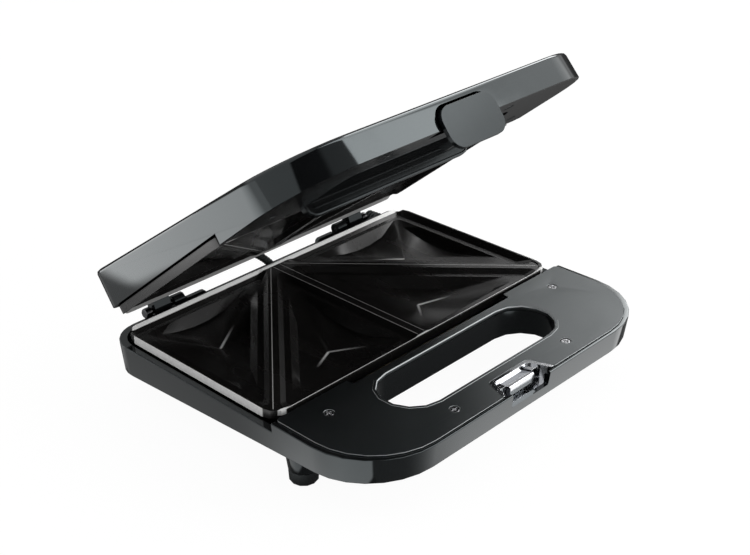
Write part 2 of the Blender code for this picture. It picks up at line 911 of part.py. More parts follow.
def make_handle_panel(base):
    outline = rounded_rectangle(
        panel_half, panel_front, step_y - fit, panel_front_radius, plate_side_height / 2
    )
    panel = prism("handle_panel", [outline], -panel_thickness, 0, base)
    slot = slot_cutter("panel_slot", base, -slot_depth)
    pocket = prism("panel_pocket", [pocket_outline(0, panel_front - overrun)], -rim_height, overrun, base, True)
    rebate_shape = pocket_outline(pocket_rebate, panel_front - overrun)
    rebate = prism("pocket_rebate", [rebate_shape], -pocket_rebate_depth, overrun, base, True)
    hole = prism("panel_hole", [stadium(hole_half_length, hole_radius, hole_y)], -rim_height, overrun, base, True)
    cut(panel, slot, pocket, hole)
    round_edges(panel, panel_edge_radius)
    lip_path = stadium(hole_half_length + hole_lip_radius / 2, hole_radius + hole_lip_radius / 2, hole_y)
    lip_height = hole_lip_rise - hole_lip_radius
    lip = tube("hand_hole_lip", [(x, y, lip_height) for x, y in lip_path], hole_lip_radius, base, True, True)
    join(panel, lip)
    cut(panel, rebate)
    for index, (x, y) in enumerate(panel_screw_places):
        seat = (x, y, -counterbore_depth - fit)
        cut(panel, rod(f"panel_sink_{index}", seat, (x, y, overrun), counterbore_radius, base, True))
        low = (x, y, -rim_height)
        cut(panel, rod(f"panel_pass_{index}", low, (x, y, overrun), screw_shank_radius + fit, base, True))
    finish(panel, (0.016, 0.017, 0.019), 0.22)
    for x, y in panel_screw_places:
        name = "panel_screw_" + corner_name(x, y, hole_y)
        make_screw(name, (x, y, -counterbore_depth), 1, base)


# Cooking plates: a thin rim, a bevel down to a land, dividing ridges and four triangular wells
def well_triangles():
    """Corners of the four triangles, each anticlockwise from above."""
    half_x, half_y = plate_width / 2, plate_depth / 2
    triangles = {
        "left_outer": [(-half_x, half_y), (-half_x, -half_y), (0, half_y)],
        "left_inner": [(-half_x, -half_y), (0, -half_y), (0, half_y)],
        "right_inner": [(0, -half_y), (half_x, -half_y), (0, half_y)],
        "right_outer": [(half_x, -half_y), (half_x, half_y), (0, half_y)],
    }
    return triangles


def inset_triangle(corners, ridge_inset, rim_inset):
    """Moves each side inwards, the sides on the plate's own edge by rim_inset."""
    lines = []
    for index in range(3):
        start, end = Vector(corners[index]), Vector(corners[(index + 1) % 3])
        along = (end - start).normalized()
        inwards = Vector((-along.y, along.x))
        flat = abs(along.x) < weld or abs(along.y) < weld
        on_edge = flat and max(abs(start.x), abs(start.y)) > weld and not (start.x == 0 and end.x == 0)
        lines.append((start + inwards * (rim_inset if on_edge else ridge_inset), along))
    moved = []
    for index in range(3):
        (p, u), (q, v) = lines[index - 1], lines[index]
        distance = (q - p).cross(v) / u.cross(v)
        moved.append(p + u * distance)
    return moved


def triangle_ring(corners, radius, depth_at):
    """A triangle with round corners and stepped sides. depth_at gives the depth along each side."""
    ring = []
    rounded = filleted([(*corner, radius) for corner in corners])
    per_corner = small_corner_steps + 1
    for index in range(3):
        first = rounded[index * per_corner : (index + 1) * per_corner]
        ring += [(x, y, depth_at(0)) for x, y in first]
        start, end = Vector(first[-1]), Vector(rounded[((index + 1) * per_corner) % len(rounded)])
        for step in range(1, well_side_steps):
            side_share = step / well_side_steps
            x, y = start.lerp(end, side_share)
            ring.append((x, y, depth_at(side_share)))
    return ring


def well_cutter(name, corners, level, carrier):
    """Everything cut away inside one triangle: the bevelled pocket, its land and the dished well."""

    def ring(inset, radius, depth_at):
        shape = inset_triangle(corners, ridge_half_width + inset, rim_land + inset)
        return [(x, y, level(depth)) for x, y, depth in triangle_ring(shape, radius, depth_at)]

    def foot_depth(side_share):
        return land_depth + well_corner_depth + well_bow * math.sin(math.pi * side_share)

    land = land_depth + land_width
    rings = [
        ring(-ridge_half_width / 2, pocket_corner_radius, lambda share: -ridge_half_width / 2),
        ring(land_depth, pocket_corner_radius, lambda share: land_depth),
        ring(land, well_corner_radius, lambda share: land_depth),
        ring(land + well_wall_run, well_corner_radius, foot_depth),
    ]
    inner = inset_triangle(corners, ridge_half_width + land, rim_land + land)
    centre = sum(inner, Vector((0, 0))) / 3
    return loft(name, rings, carrier, True, apex=(centre.x, centre.y, level(well_depth)))


def element_path(level):
    corners = [
        (-element_end_leg, element_end, 0),
        (-element_leg, element_back, element_bend / 2),
        (-element_side, -element_turn, element_bend),
        (-element_front_side, -element_front, element_bend / 2),
    ]
    corners += [(-x, y, radius) for x, y, radius in reversed(corners)]
    return [(x, y, level(element_depth)) for x, y in filleted(corners, closed=False)]


def make_plate(name, level, carrier):
    """A plate whose depths are turned into heights by level, so that both plates share one form."""
    half_x, half_y = plate_width / 2, plate_depth / 2

    def outline(inset):
        radius = plate_corner_radius - inset
        return rounded_rectangle(half_x - inset, inset - half_y, half_y - inset, radius, radius, small_corner_steps)

    body = [
        at_height(outline(0), lambda y: level(0)),
        at_height(outline(0), lambda y: level(plate_side_height)),
        at_height(outline(plate_step), lambda y: level(plate_side_height + plate_step / 3)),
        at_height(outline(plate_step), lambda y: level(plate_thickness)),
    ]
    plate = loft(name, body, carrier)
    inner = [
        at_height(outline(ridge_end_land), lambda y: level(-rim_land)),
        at_height(outline(rim_land + ridge_drop + ridge_end_land), lambda y: level(ridge_drop)),
    ]
    cut(plate, loft(name + "_inner", inner, carrier, True))
    for place, corners in well_triangles().items():
        cut(plate, well_cutter(f"{name}_{place}", corners, level, carrier))
    groove = tube(name + "_groove", element_path(level), element_radius + fit, carrier, True)
    cut(plate, groove)
    finish(plate, (0.012, 0.012, 0.013), 0.38)
    return plate


def make_heating(prefix, level, carrier):
    """The element in its groove and the thermostat on the back of the plate."""
    element = tube(prefix + "_heating_element", element_path(level), element_radius, carrier)
    finish(element, (0.34, 0.33, 0.31), 0.4, 1)
    seat, end = level(plate_thickness + fit), level(plate_thickness + fit + thermostat_height)
    x, y = -thermostat_left, thermostat_back
    thermostat = rod(prefix + "_thermostat", (x, y, seat), (x, y, end), thermostat_radius, carrier)
    round_edges(thermostat, blade_thickness)
    middle = (seat + end) / 2
    for side in (-1, 1):
        xs = sorted((x, x + side * (thermostat_radius + blade_reach)))
        low = (xs[0], y - blade_width / 2, middle - blade_thickness / 2)
        high = (xs[1], y + blade_width / 2, middle + blade_thickness / 2)
        join(thermostat, box(f"{prefix}_blade_{side}", low, high, carrier, True))
    finish(thermostat, (0.55, 0.53, 0.50), 0.45, 0.6)


def lower_level(depth):
    return -depth


def upper_level(depth):
    return plates_apart + depth


def make_lower_plate(base):
    plate = make_plate("lower_plate", lower_level, base)
    for index, y in enumerate((-plate_screw_front, plate_screw_rear)):
        top = plate_screw_bite + fit - plate_thickness
        cut(plate, rod(f"plate_thread_{index}", (0, y, -rim_height), (0, y, top), screw_shank_radius + fit, base, True))
    for place, y in (("front", -plate_screw_front), ("rear", plate_screw_rear)):
        seat = base_floor(y, plate_screw_head_lift - fit)
        make_plate_screw(f"plate_screw_{place}", y, seat, base)


def make_plate_screw(name, y, seat, base):
    screw = rod(name, (0, y, seat), (0, y, seat - screw_head_height), screw_head_radius, base)
    tip = plate_screw_bite - plate_thickness
    join(screw, rod(name + "_shank", (0, y, seat - screw_head_height / 2), (0, y, tip), screw_shank_radius, base, True))
    reach, half = screw_cross_length / 2, screw_cross_width / 2
    low, high = seat - screw_head_height - overrun, seat - screw_head_height + screw_cross_depth
    for index, (span_x, span_y) in enumerate(((reach, half), (half, reach))):
        cut(screw, box(f"{name}_cross_{index}", (-span_x, y - span_y, low), (span_x, y + span_y, high), base, True))
    steel(screw)


def make_fuse_and_block(base):
    z = -plate_thickness - fit - fuse_radius
    start, end = fuse_right - fuse_length / 2, fuse_right + fuse_length / 2
    fuse = rod("thermal_fuse", (start, fuse_back, z), (end, fuse_back, z), fuse_radius, base)
    round_edges(fuse, fuse_radius / 3)
    finish(fuse, (0.62, 0.58, 0.48), 0.5)
    x_low, x_high = block_right - block_length / 2, block_right + block_length / 2
    y_low, y_high = block_back - block_width / 2, block_back + block_width / 2
    z_low = base_floor(y_low, shell_floor + fit)
    block = box("terminal_block", (x_low, y_low, z_low), (x_high, y_high, z_low + block_height), base)
    for way in (-1, 0, 1):
        x = block_right + way * block_length * block_bore_share
        z = z_low + block_height / 2
        cut(block, rod(f"block_bore_{way}", (x, y_low - overrun, z), (x, y_high + overrun, z), block_bore_radius, base, True))
    finish(block, (0.70, 0.69, 0.64), 0.5)


# Catch: a bright insert with a strike block in the middle and a ledge for each prong
def make_catch_insert(base):
    front = shell_front + shell_wall + fit
    walls = prism("catch_insert", [pocket_outline(-fit, front)], -catch_bottom, 0, base)
    inside = pocket_outline(-fit - catch_wall, front - overrun)
    cut(walls, prism("catch_inside", [inside], catch_wall - catch_bottom, overrun, base, True))
    flange_front = panel_front + fit
    outer, inner = pocket_outline(catch_flange, flange_front), pocket_outline(-fit * 2, flange_front - overrun)
    flange = prism("catch_flange", [outer], -catch_flange_height, 0, base, True)
    cut(flange, prism("catch_flange_inside", [inner], -rim_height, overrun, base, True))
    join(walls, flange)
    block_front = shell_front + shell_wall + catch_block_setback
    back = pocket_rear - fit - catch_wall / 2
    side_profile = [
        (block_front, catch_wall / 2 - catch_bottom, 0),
        (back, catch_wall / 2 - catch_bottom, 0),
        (back, -catch_block_drop - catch_block_slope, 0),
        (block_front, -catch_block_drop, catch_block_slope / 2),
    ]
    half = catch_block_half_width
    join(walls, prism("catch_block", [filleted(side_profile)], -half, half, base, True, "X"))
    for side in (-1, 1):
        ledge_front = pocket_rear - catch_ledge_reach
        x_back, x_front = pocket_rear_half_width - catch_wall, pocket_half_at(ledge_front) - catch_wall
        shape = [
            (side * catch_ledge_inner, ledge_front),
            (side * x_front, ledge_front),
            (side * x_back, back),
            (side * catch_ledge_inner, back),
        ]
        join(walls, prism(f"catch_ledge_{side}", [shape], -catch_ledge_bottom, -catch_ledge_top, base, True))
    chrome(walls)


def pocket_half_at(y):
    slope_share = (pocket_front_half_width - pocket_rear_half_width) / pocket_depth
    return pocket_rear_half_width + (pocket_rear - y) * slope_share


# Feet and cord gland
def make_feet(base):
    for name, x, y, radius, height in foot_places():
        profile = [
            (0, height + foot_spigot_height - fit),
            (foot_spigot_radius, height + foot_spigot_height - fit),
            (foot_spigot_radius, height),
            (radius, height),
            (radius - foot_edge / 3, foot_edge),
            (radius - foot_edge, 0),
            (0, 0),
        ]
        rubber_black(turned(name, profile, Vector((x, y, -rim_height)), base))


def make_cord_gland(base):
    """A ribbed bushing with an open bore, in a hole through the rear right corner."""
    outside_end = shell_rear + gland_outside
    wall_face = shell_rear + fit
    inside_end = bay_rear - gland_inside
    rib = (outside_end - wall_face) / (2 * gland_rib_count + 1)
    profile = [(gland_bore_radius, outside_end)]
    for index in range(gland_rib_count + 1):
        top = outside_end - 2 * rib * index
        taper = gland_groove * (gland_rib_count - index) / gland_rib_count / 3
        profile += [(gland_radius - taper, top), (gland_radius - taper, top - rib)]
        if index < gland_rib_count:
            groove = gland_radius - taper - gland_groove
            profile += [(groove, top - rib), (groove, top - 2 * rib)]
    profile += [
        (gland_neck_radius, wall_face),
        (gland_neck_radius, inside_end + gland_flange),
        (gland_neck_radius + gland_groove / 2, inside_end + gland_flange),
        (gland_neck_radius + gland_groove / 2, inside_end),
        (gland_bore_radius, inside_end),
        (gland_bore_radius, outside_end),
    ]
    gland = turned("cord_gland", profile, Vector((gland_x, 0, -gland_drop)), base, (0, 1, 0))
    rubber_black(gland)


# Hinge pins and the wire sleeve
def make_hinge_pins(base):
    for side, hand in ((-1, "left"), (1, "right")):
        name = f"hinge_pin_{hand}"
        axis_y, axis_z = hinge.y, hinge.z
        start = (side * (ear_inner_x + fit), axis_y, axis_z)
        end = (side * (pin_head_inner_x + fit), axis_y, axis_z)
        profile = [
            (0, pin_head_outer_x),
            (pin_head_radius - pin_head_edge, pin_head_outer_x),
            (pin_head_radius, pin_head_outer_x - pin_head_edge),
            (pin_head_radius, pin_head_inner_x + pin_head_edge),
            (pin_head_radius - pin_head_edge, pin_head_inner_x),
            (0, pin_head_inner_x),
        ]
        pin = turned(name, profile, Vector((0, axis_y, axis_z)), base, (side, 0, 0))
        join(pin, rod(name + "_shank", start, end, pin_radius, base, True))
        steel(pin)


def smooth_path(knots, steps):
    """Points of a smooth curve through the knots."""
    points = []
    last = len(knots) - 1
    for index in range(last):
        before, start = knots[max(index - 1, 0)], knots[index]
        end, after = knots[index + 1], knots[min(index + 2, last)]
        for step in range(steps):
            t = step / steps
            point = 2 * start + (end - before) * t
            point += (2 * before - 5 * start + 4 * end - after) * t * t
            point += (3 * start - 3 * end + after - before) * t * t * t
            points.append(point / 2)
    points.append(knots[-1])
    return points


def make_wire_sleeve(base):
    """The flexible sleeve that takes the wires up to the lid, as it lies with the lid open."""
    up_y = plate_depth / 2 + sleeve_clearance + sleeve_radius
    knots = [
        Vector((sleeve_base_x, up_y, -sleeve_base_depth)),
        Vector((sleeve_base_x, up_y, -sleeve_base_depth / 2 - sleeve_rise_depth / 2)),
        Vector((sleeve_base_x * sleeve_lean_share, up_y, -sleeve_rise_depth)),
        (Vector((sleeve_base_x, up_y, 0)) + swung_open((sleeve_lid_x, cover_rear + sleeve_mouth_back, sleeve_mouth_lift))) / 2,
        swung_open((sleeve_lid_x, cover_rear + sleeve_mouth_back, sleeve_mouth_lift)),
        swung_open((sleeve_lid_x, cover_rear - sleeve_end_back, sleeve_end_lift)),
    ]
    sleeve = tube("wire_sleeve", smooth_path(knots, sleeve_steps), sleeve_radius, base)
    rubber_black(sleeve)


# Lid cover
def cover_outline(inset):
    return rounded_rectangle(
        cover_half - inset,
        cover_front + inset,
        cover_rear - inset,
        cover_front_radius - inset,
        cover_rear_radius - inset,
    )


def make_lid_cover(lid):
    low = at_height(cover_outline(0), lambda y: plates_apart)
    high = at_height(cover_outline(cover_draft), cover_top)
    cover = loft("lid_cover", [low, high], lid, rounded_ring=1)
    round_edges(cover, cover_edge_radius, weighted=True)
    step_low = (-cover_half - overrun, step_y, -overrun)
    step_high = (cover_half + overrun, cover_rear + overrun, cover_side_clear)
    cut(cover, box("cover_step", step_low, step_high, lid, True))
    low = at_height(cover_outline(cover_wall), lambda y: -overrun)
    high = at_height(cover_outline(cover_wall + cover_draft), lambda y: cover_top(y, -cover_wall))
    cut(cover, loft("cover_inside", [low, high], lid, True))
    join(cover, *cover_bosses(lid))
    cut(cover, *cover_holes(lid))
    gloss_black(cover)


def cover_bosses(lid):
    """Posts that hold the upper plate, bosses for the frame's screws and the hinge arms."""
    bosses = []
    for index, (x, y) in enumerate(post_places):
        low, high = (x, y, plate_back + fit), (x, y, cover_top(y, -cover_wall / 2))
        bosses.append(rod(f"upper_post_{index}", low, high, post_radius, lid, True))
    for index, (x, y) in enumerate(panel_screw_places):
        low, high = (x, y, frame_top + fit), (x, y, cover_top(y, -cover_wall / 2))
        bosses.append(rod(f"frame_boss_{index}", low, high, boss_radius, lid, True))
    near, far = cover_rear - cover_wall + arm_root_skin, cover_rear - arm_root_skin
    for side, hand in ((-1, "left"), (1, "right")):
        points = []
        for x in (side * knuckle_inner_x, side * knuckle_outer_x):
            points += barrel_points(x)
            points += [(x, near, arm_root_low), (x, near, arm_root_high), (x, far, arm_root_high)]
        bosses.append(hull(f"hinge_arm_{hand}", points, lid, True))
    return bosses


def cover_holes(lid):
    """Latch opening, screw bores, pin bores, sleeve notch, lamp holes and the stud's hole."""
    half, top = latch_half_width + latch_gap, latch_top + latch_top_gap
    radius = latch_corner_radius + latch_gap
    corners = [(-half, -overrun, 0), (half, -overrun, 0), (half, top, radius), (-half, top, radius)]
    front, back = cover_front - overrun, cover_front + cover_wall + overrun
    holes = [prism("latch_opening", [filleted(corners, corner_steps)], front, back, lid, True, "Y")]
    bore = screw_shank_radius + fit
    for index, (x, y) in enumerate(panel_screw_places):
        high = plates_apart + counterbore_depth + screw_length + fit
        holes.append(rod(f"frame_bore_{index}", (x, y, 0), (x, y, high), bore, lid, True))
    for side, hand in ((-1, "left"), (1, "right")):
        start = (side * (knuckle_inner_x - overrun), hinge.y, hinge.z)
        end = (side * (knuckle_outer_x + overrun), hinge.y, hinge.z)
        holes.append(rod(f"knuckle_bore_{hand}", start, end, pin_radius + fit, lid, True))
    notch_low = (sleeve_lid_x - sleeve_notch_half_width, cover_rear - cover_wall - overrun, 0)
    notch_high = (sleeve_lid_x + sleeve_notch_half_width, cover_rear + overrun, sleeve_notch_height)
    holes.append(box("sleeve_notch", notch_low, notch_high, lid, True))
    for name, x in (("ready", -lamp_half_spacing), ("power", lamp_half_spacing)):
        low, high = on_top(x, lamp_y(), -lamp_body_depth), on_top(x, lamp_y(), overrun)
        holes.append(rod(f"{name}_lamp_hole", low, high, lamp_radius + fit, lid, True))
    low, high = on_top(0, stud_y(), -lamp_body_depth), on_top(0, stud_y(), overrun)
    holes.append(rod("stud_hole", low, high, stud_stem_radius + fit, lid, True))
    return holes


# Pieces on the sloping top
def lamp_y():
    return -plate_depth / 2 + lamp_distance - fit


def stud_y():
    return plate_depth / 2 - stud_back


def on_top(x, y, lift):
    """A point that stands lift above the sloping top, square to it."""
    upwards = Vector((0, -math.sin(cover_tilt), math.cos(cover_tilt)))
    return Vector((x, y, cover_top(y))) + upwards * lift


def make_lamps(lid):
    upwards = on_top(0, 0, 1) - on_top(0, 0, 0)
    for name, x, colour in (
        ("ready_lamp", -lamp_half_spacing, (0.05, 0.35, 0.10)),
        ("power_lamp", lamp_half_spacing, (0.45, 0.03, 0.03)),
    ):
        rise = bezel_height + lamp_rise
        crown = [(lamp_radius * out, rise - lamp_rise * down) for out, down in lens_profile_shares]
        profile = [
            (0, rise),
            *crown,
            (lamp_radius, bezel_height),
            (lamp_radius, -cover_wall - lamp_rise),
            (0, -cover_wall - lamp_rise),
        ]
        finish(turned(name, profile, on_top(x, lamp_y(), 0), lid, upwards), colour, 0.15)
    radius = bezel_half_width * bezel_corner_share
    shape = rounded_rectangle(
        bezel_half_length, -bezel_half_width, bezel_half_width, radius, radius, small_corner_steps
    )
    bezel = prism("lamp_bezel", [shape], fit, bezel_height, lid)
    bezel.location += on_top(0, lamp_y(), 0)
    bezel.rotation_euler.x = cover_tilt
    round_edges(bezel, bezel_edge_radius)
    for x in (-lamp_half_spacing, lamp_half_spacing):
        low, high = on_top(x, lamp_y(), -overrun), on_top(x, lamp_y(), bezel_height + overrun)
        cut(bezel, rod(f"bezel_hole_{x > 0}", low, high, lamp_radius + fit, lid, True))
    satin_black(bezel)


def make_top_stud(lid):
    upwards = on_top(0, 0, 1) - on_top(0, 0, 0)
    profile = [
        (0, stud_height),
        (stud_radius * stud_crown_share, stud_height),
        (stud_radius, stud_height * stud_edge_share),
        (stud_radius, fit),
        (stud_stem_radius, fit),
        (stud_stem_radius, -cover_wall - fit),
        (0, -cover_wall - fit),
    ]
    rubber_black(turned("top_stud", profile, on_top(0, stud_y(), 0), lid, upwards))


# Lid frame: closes the lid over the handle, with a finger recess and the tongue
def make_lid_frame(lid):
    half = cover_half - cover_wall - fit
    front, rear = cover_front + cover_wall + fit, -plate_depth / 2 - frame_rear_gap
    radius = cover_front_radius - cover_wall - fit
    outline = rounded_rectangle(half, front, rear, radius, frame_corner_radius)
    frame = prism("lid_frame", [outline], plates_apart, frame_top, lid)
    tongue_rear = slot_front + tongue_front_gap + tongue_thickness
    tongue_front = slot_front + tongue_front_gap
    recess_rear = tongue_front
    grow = recess_wall
    pan_outline = rounded_rectangle(
        recess_half_width + grow,
        recess_front - grow,
        tongue_rear,
        recess_corner_radius + grow,
        grow,
    )
    pan = prism("recess_pan", [pan_outline], plates_apart + fit, plates_apart + recess_height + grow, lid, True)
    join(frame, pan)
    inner_outline = rounded_rectangle(
        recess_half_width, recess_front, recess_rear, recess_corner_radius, frame_corner_radius / 2
    )
    cut(frame, prism("recess_inside", [inner_outline], -overrun, plates_apart + recess_height, lid, True))
    join(frame, *tongue_pieces(lid, tongue_front, tongue_rear))
    join(frame, *latch_ears(lid))
    cut(frame, *frame_holes(lid, front))
    satin_black(frame)
    for x, y in panel_screw_places:
        name = "frame_screw_" + corner_name(x, y, hole_y)
        make_screw(name, (x, y, plates_apart + counterbore_depth), -1, lid)


def tongue_pieces(lid, front, rear):
    radius = (tongue_top + tongue_bottom) / 2
    centre = (tongue_top - tongue_bottom) / 2
    shape = stadium(tongue_half_width, radius, centre)
    tongue = prism("tongue", [shape], front - fit / 3, rear - fit / 3, lid, True, "Y")
    bead_inset = tongue_bead_radius * bead_inset_share
    bead_shape = stadium(tongue_half_width - bead_inset, radius - bead_inset, centre)
    bead_path = [(x, front, z) for x, z in bead_shape]
    bead = tube("tongue_bead", bead_path, tongue_bead_radius, lid, True, True)
    pieces = [tongue, bead]
    for name, z in (("high", rib_high), ("low", -rib_low)):
        reach = tongue_half_width - rib_inset
        low, high = (-reach, front - rib_height, z - rib_width / 2), (reach, front + rib_height, z + rib_width / 2)
        pieces.append(box(f"tongue_rib_{name}", low, high, lid, True))
    return pieces


def latch_ears(lid):
    """Two ears that hold the ends of the latch's pin."""
    ears = []
    for side, hand in ((-1, "left"), (1, "right")):
        points = []
        circle = arc(latch_pivot.y, latch_pivot.z, latch_ear_radius, 0, 2 * math.pi, round_segments)[:-1]
        for x in (side * latch_ear_inner_x, side * latch_ear_outer_x):
            points += [(x, y, z) for y, z in circle]
            points += [(x, latch_pivot.y - latch_ear_radius, frame_top - fit * 2)]
            points += [(x, latch_pivot.y + latch_ear_radius * 2, frame_top - fit * 2)]
        ears.append(hull(f"latch_ear_{hand}", points, lid, True))
    return ears


def frame_holes(lid, front):
    half = latch_half_width + latch_gap
    notch_rear = latch_pivot.y + prong_web + latch_gap
    holes = [box("frame_notch", (-half, front - overrun, -overrun), (half, notch_rear, latch_pivot.z), lid, True)]
    for index, (x, y) in enumerate(panel_screw_places):
        seat = plates_apart + counterbore_depth + fit
        holes.append(rod(f"frame_sink_{index}", (x, y, -overrun), (x, y, seat), counterbore_radius, lid, True))
        passing = screw_shank_radius + fit
        holes.append(rod(f"frame_pass_{index}", (x, y, -overrun), (x, y, frame_top + overrun), passing, lid, True))
    start, end = (-cover_half, latch_pivot.y, latch_pivot.z), (cover_half, latch_pivot.y, latch_pivot.z)
    holes.append(rod("latch_pin_hole", start, end, latch_pin_radius + fit, lid, True))
    return holes


# Latch: a face plate with two hooked prongs that turn on a pin
def make_latch(latch):
    corners = [
        (-latch_half_width, -latch_bottom, latch_corner_radius),
        (latch_half_width, -latch_bottom, latch_corner_radius),
        (latch_half_width, latch_top, latch_corner_radius),
        (-latch_half_width, latch_top, latch_corner_radius),
    ]
    face_front = cover_front - latch_proud
    face_rear = face_front + latch_thickness
    outline = filleted(corners, corner_steps)
    plate = prism("latch", [outline], face_front, face_rear, latch, axis="Y")
    round_edges(plate, latch_edge_radius)
    for side, hand in ((-1, "left"), (1, "right")):
        low, high = sorted((side * prong_inner_x, side * prong_outer_x))
        join(plate, prism(f"prong_{hand}", [prong_profile(face_rear)], low, high, latch, True, "X"))
    start = (-latch_half_width, latch_pivot.y, latch_pivot.z)
    end = (latch_half_width, latch_pivot.y, latch_pivot.z)
    cut(plate, rod("latch_bore", start, end, latch_pin_radius + fit, latch, True))
    finish(plate, (0.055, 0.060, 0.066), 0.2)


def prong_profile(face_rear):
    """Side view of a prong: boss round the pin, web down the face and a hook that points back."""
    root = face_rear - latch_thickness / 3
    web = face_rear + prong_web
    pivot_y, pivot_z, boss = latch_pivot.y, latch_pivot.z, prong_boss_radius
    tip_y, heel_y = latch_pivot.y + hook_tip_back - latch_pivot_back, latch_pivot.y + hook_heel_back - latch_pivot_back
    return filleted(
        [
            (root, -hook_bottom, 0),
            (heel_y, -hook_bottom, boss / 4),
            (tip_y, -hook_tip_drop, boss / 4),
            (tip_y, -hook_top, boss / 6),
            (web, -hook_top, boss / 4),
            (web, pivot_z - 2 * boss, boss),
            (pivot_y + boss, pivot_z - boss, boss / 2),
            (pivot_y + boss, pivot_z + boss, boss / 2),
            (pivot_y - boss, pivot_z + boss, boss / 2),
            (root, pivot_z, 0),
        ]
    )


def make_latch_pin_and_spring(lid):
    reach = latch_ear_outer_x - fit
    start, end = (-reach, latch_pivot.y, latch_pivot.z), (reach, latch_pivot.y, latch_pivot.z)
    steel(rod("latch_pin", start, end, latch_pin_radius, lid))
    points = [latch_pivot + Vector((-spring_half_length, -spring_radius, -spring_leg))]
    steps = spring_turns * spring_turn_steps
    for step in range(steps + 1):
        turn = math.pi + 2 * math.pi * step / spring_turn_steps
        x = -spring_half_length + 2 * spring_half_length * step / steps
        points.append(latch_pivot + Vector((x, spring_radius * math.cos(turn), spring_radius * math.sin(turn))))
    forward, upward = (spring_radius * leg_share for leg_share in spring_leg_shares)
    points.append(latch_pivot + Vector((spring_half_length, -forward, upward)))
    points.append(latch_pivot + Vector((spring_half_length, spring_leg, upward)))
    steel(tube("latch_spring", points, spring_wire_radius, lid))


def stand_on_origin(root):
    """Moves the object so that the origin is under the middle of its box."""
    bpy.context.view_layer.update()
    graph = bpy.context.evaluated_depsgraph_get()
    places = []
    for piece in parts.objects:
        if piece.type != "MESH":
            continue
        shape = piece.evaluated_get(graph)
        places += [shape.matrix_world @ vertex.co for vertex in shape.data.vertices]
    depths = [place.y for place in places]
    root.location.y -= (min(depths) + max(depths)) / 2
    root.location.z -= min(place.z for place in places)


clear_scene()
parts = new_collection("sandwich_maker")
cutters = new_collection("cutters")
cutters.hide_render = True

root_carrier = new_carrier("sandwich_maker_root", (0, 0, rim_height))
base_carrier = new_carrier("base_body", (0, 0, 0), root_carrier)
lid_carrier = new_carrier("lid_body", hinge, root_carrier)
lid_carrier.rotation_euler.x = -lid_open_angle
latch_carrier = new_carrier("latch_body", latch_pivot - hinge, lid_carrier)
pivots = {
    base_carrier.name: Vector((0, 0, 0)),
    lid_carrier.name: hinge,
    latch_carrier.name: latch_pivot,
}

make_base_shell(base_carrier)
make_handle_panel(base_carrier)
make_lower_plate(base_carrier)
make_heating("lower", lower_level, base_carrier)
make_fuse_and_block(base_carrier)
make_catch_insert(base_carrier)
make_feet(base_carrier)
make_cord_gland(base_carrier)
make_hinge_pins(base_carrier)
make_wire_sleeve(base_carrier)

make_lid_cover(lid_carrier)
make_lid_frame(lid_carrier)
make_plate("upper_plate", upper_level, lid_carrier)
make_heating("upper", upper_level, lid_carrier)
make_lamps(lid_carrier)
make_top_stud(lid_carrier)
make_latch_pin_and_spring(lid_carrier)
make_latch(latch_carrier)

stand_on_origin(root_carrier)
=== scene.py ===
"""Looks for a two-slice sandwich maker with an open lid.

The file is laid out as an add-on: sizes and colours are properties, and each group of pieces
has an operator. Lengths are in metres. +X points right, +Y to the back and +Z up.
"""

import json
import math

import bmesh
import bpy
from bpy.props import FloatProperty, FloatVectorProperty, IntProperty, PointerProperty
from mathutils import Matrix, Vector


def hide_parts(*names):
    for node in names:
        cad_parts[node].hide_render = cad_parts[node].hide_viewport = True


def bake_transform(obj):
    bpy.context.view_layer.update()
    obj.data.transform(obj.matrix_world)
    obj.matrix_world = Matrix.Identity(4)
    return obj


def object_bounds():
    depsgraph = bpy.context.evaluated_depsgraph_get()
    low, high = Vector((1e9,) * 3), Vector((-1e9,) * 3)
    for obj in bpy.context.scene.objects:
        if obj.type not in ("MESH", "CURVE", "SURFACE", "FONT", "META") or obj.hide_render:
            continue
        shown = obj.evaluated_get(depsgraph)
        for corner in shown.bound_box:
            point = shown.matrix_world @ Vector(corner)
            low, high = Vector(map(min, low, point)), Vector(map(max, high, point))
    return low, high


bl_info = {
    "name": "Sandwich maker looks",
    "version": (1, 0, 0),
    "blender": (4, 5, 0),
    "location": "3D View > Sidebar > Sandwich maker",
    "description": "Materials, soft edges, wire sleeve and studio for a sandwich maker",
    "category": "Object",
}

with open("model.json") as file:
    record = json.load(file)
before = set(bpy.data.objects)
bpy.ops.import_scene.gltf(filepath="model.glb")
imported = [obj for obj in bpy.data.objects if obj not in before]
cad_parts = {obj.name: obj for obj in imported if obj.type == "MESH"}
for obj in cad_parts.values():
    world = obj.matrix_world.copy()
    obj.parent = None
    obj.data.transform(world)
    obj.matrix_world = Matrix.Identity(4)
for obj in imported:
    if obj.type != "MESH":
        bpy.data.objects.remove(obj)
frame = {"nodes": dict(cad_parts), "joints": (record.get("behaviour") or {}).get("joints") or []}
cad_nodes = frame["nodes"]
cad_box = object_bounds()

hinge = Vector(frame["joints"][0]["pos_m"])
lid_open_angle = math.radians(38.72)

# The route of the wire sleeve, from inside the base up to the lid
sleeve_route = [
    (0.0060, 0.09185, 0.0200),
    (0.0060, 0.09185, 0.0260),
    (0.0042, 0.09185, 0.0320),
    (-0.0040, 0.09805, 0.04175),
    (-0.0140, 0.10424, 0.04549),
    (-0.0140, 0.09888, 0.05159),
]
route_steps = 24
rings_per_rib = 6
sleeve_sides = 20

# A solid's corners nearer than this are welded, and faces flatter than this are joined
weld_distance = 0.000004
flat_angle = math.radians(0.6)

# Where a cooking plate's finishes begin and end, as depths below its rim and insets from its sides
rim_depth = (0.0026, 0.0032)
ridge_depth = (0.0012, 0.0018)
well_depth = (0.0045, 0.0055)
outer_face_inset = (0.0006, 0.0009)
corner_inset = (0.0075, 0.0085)
rim_blend = 0.002

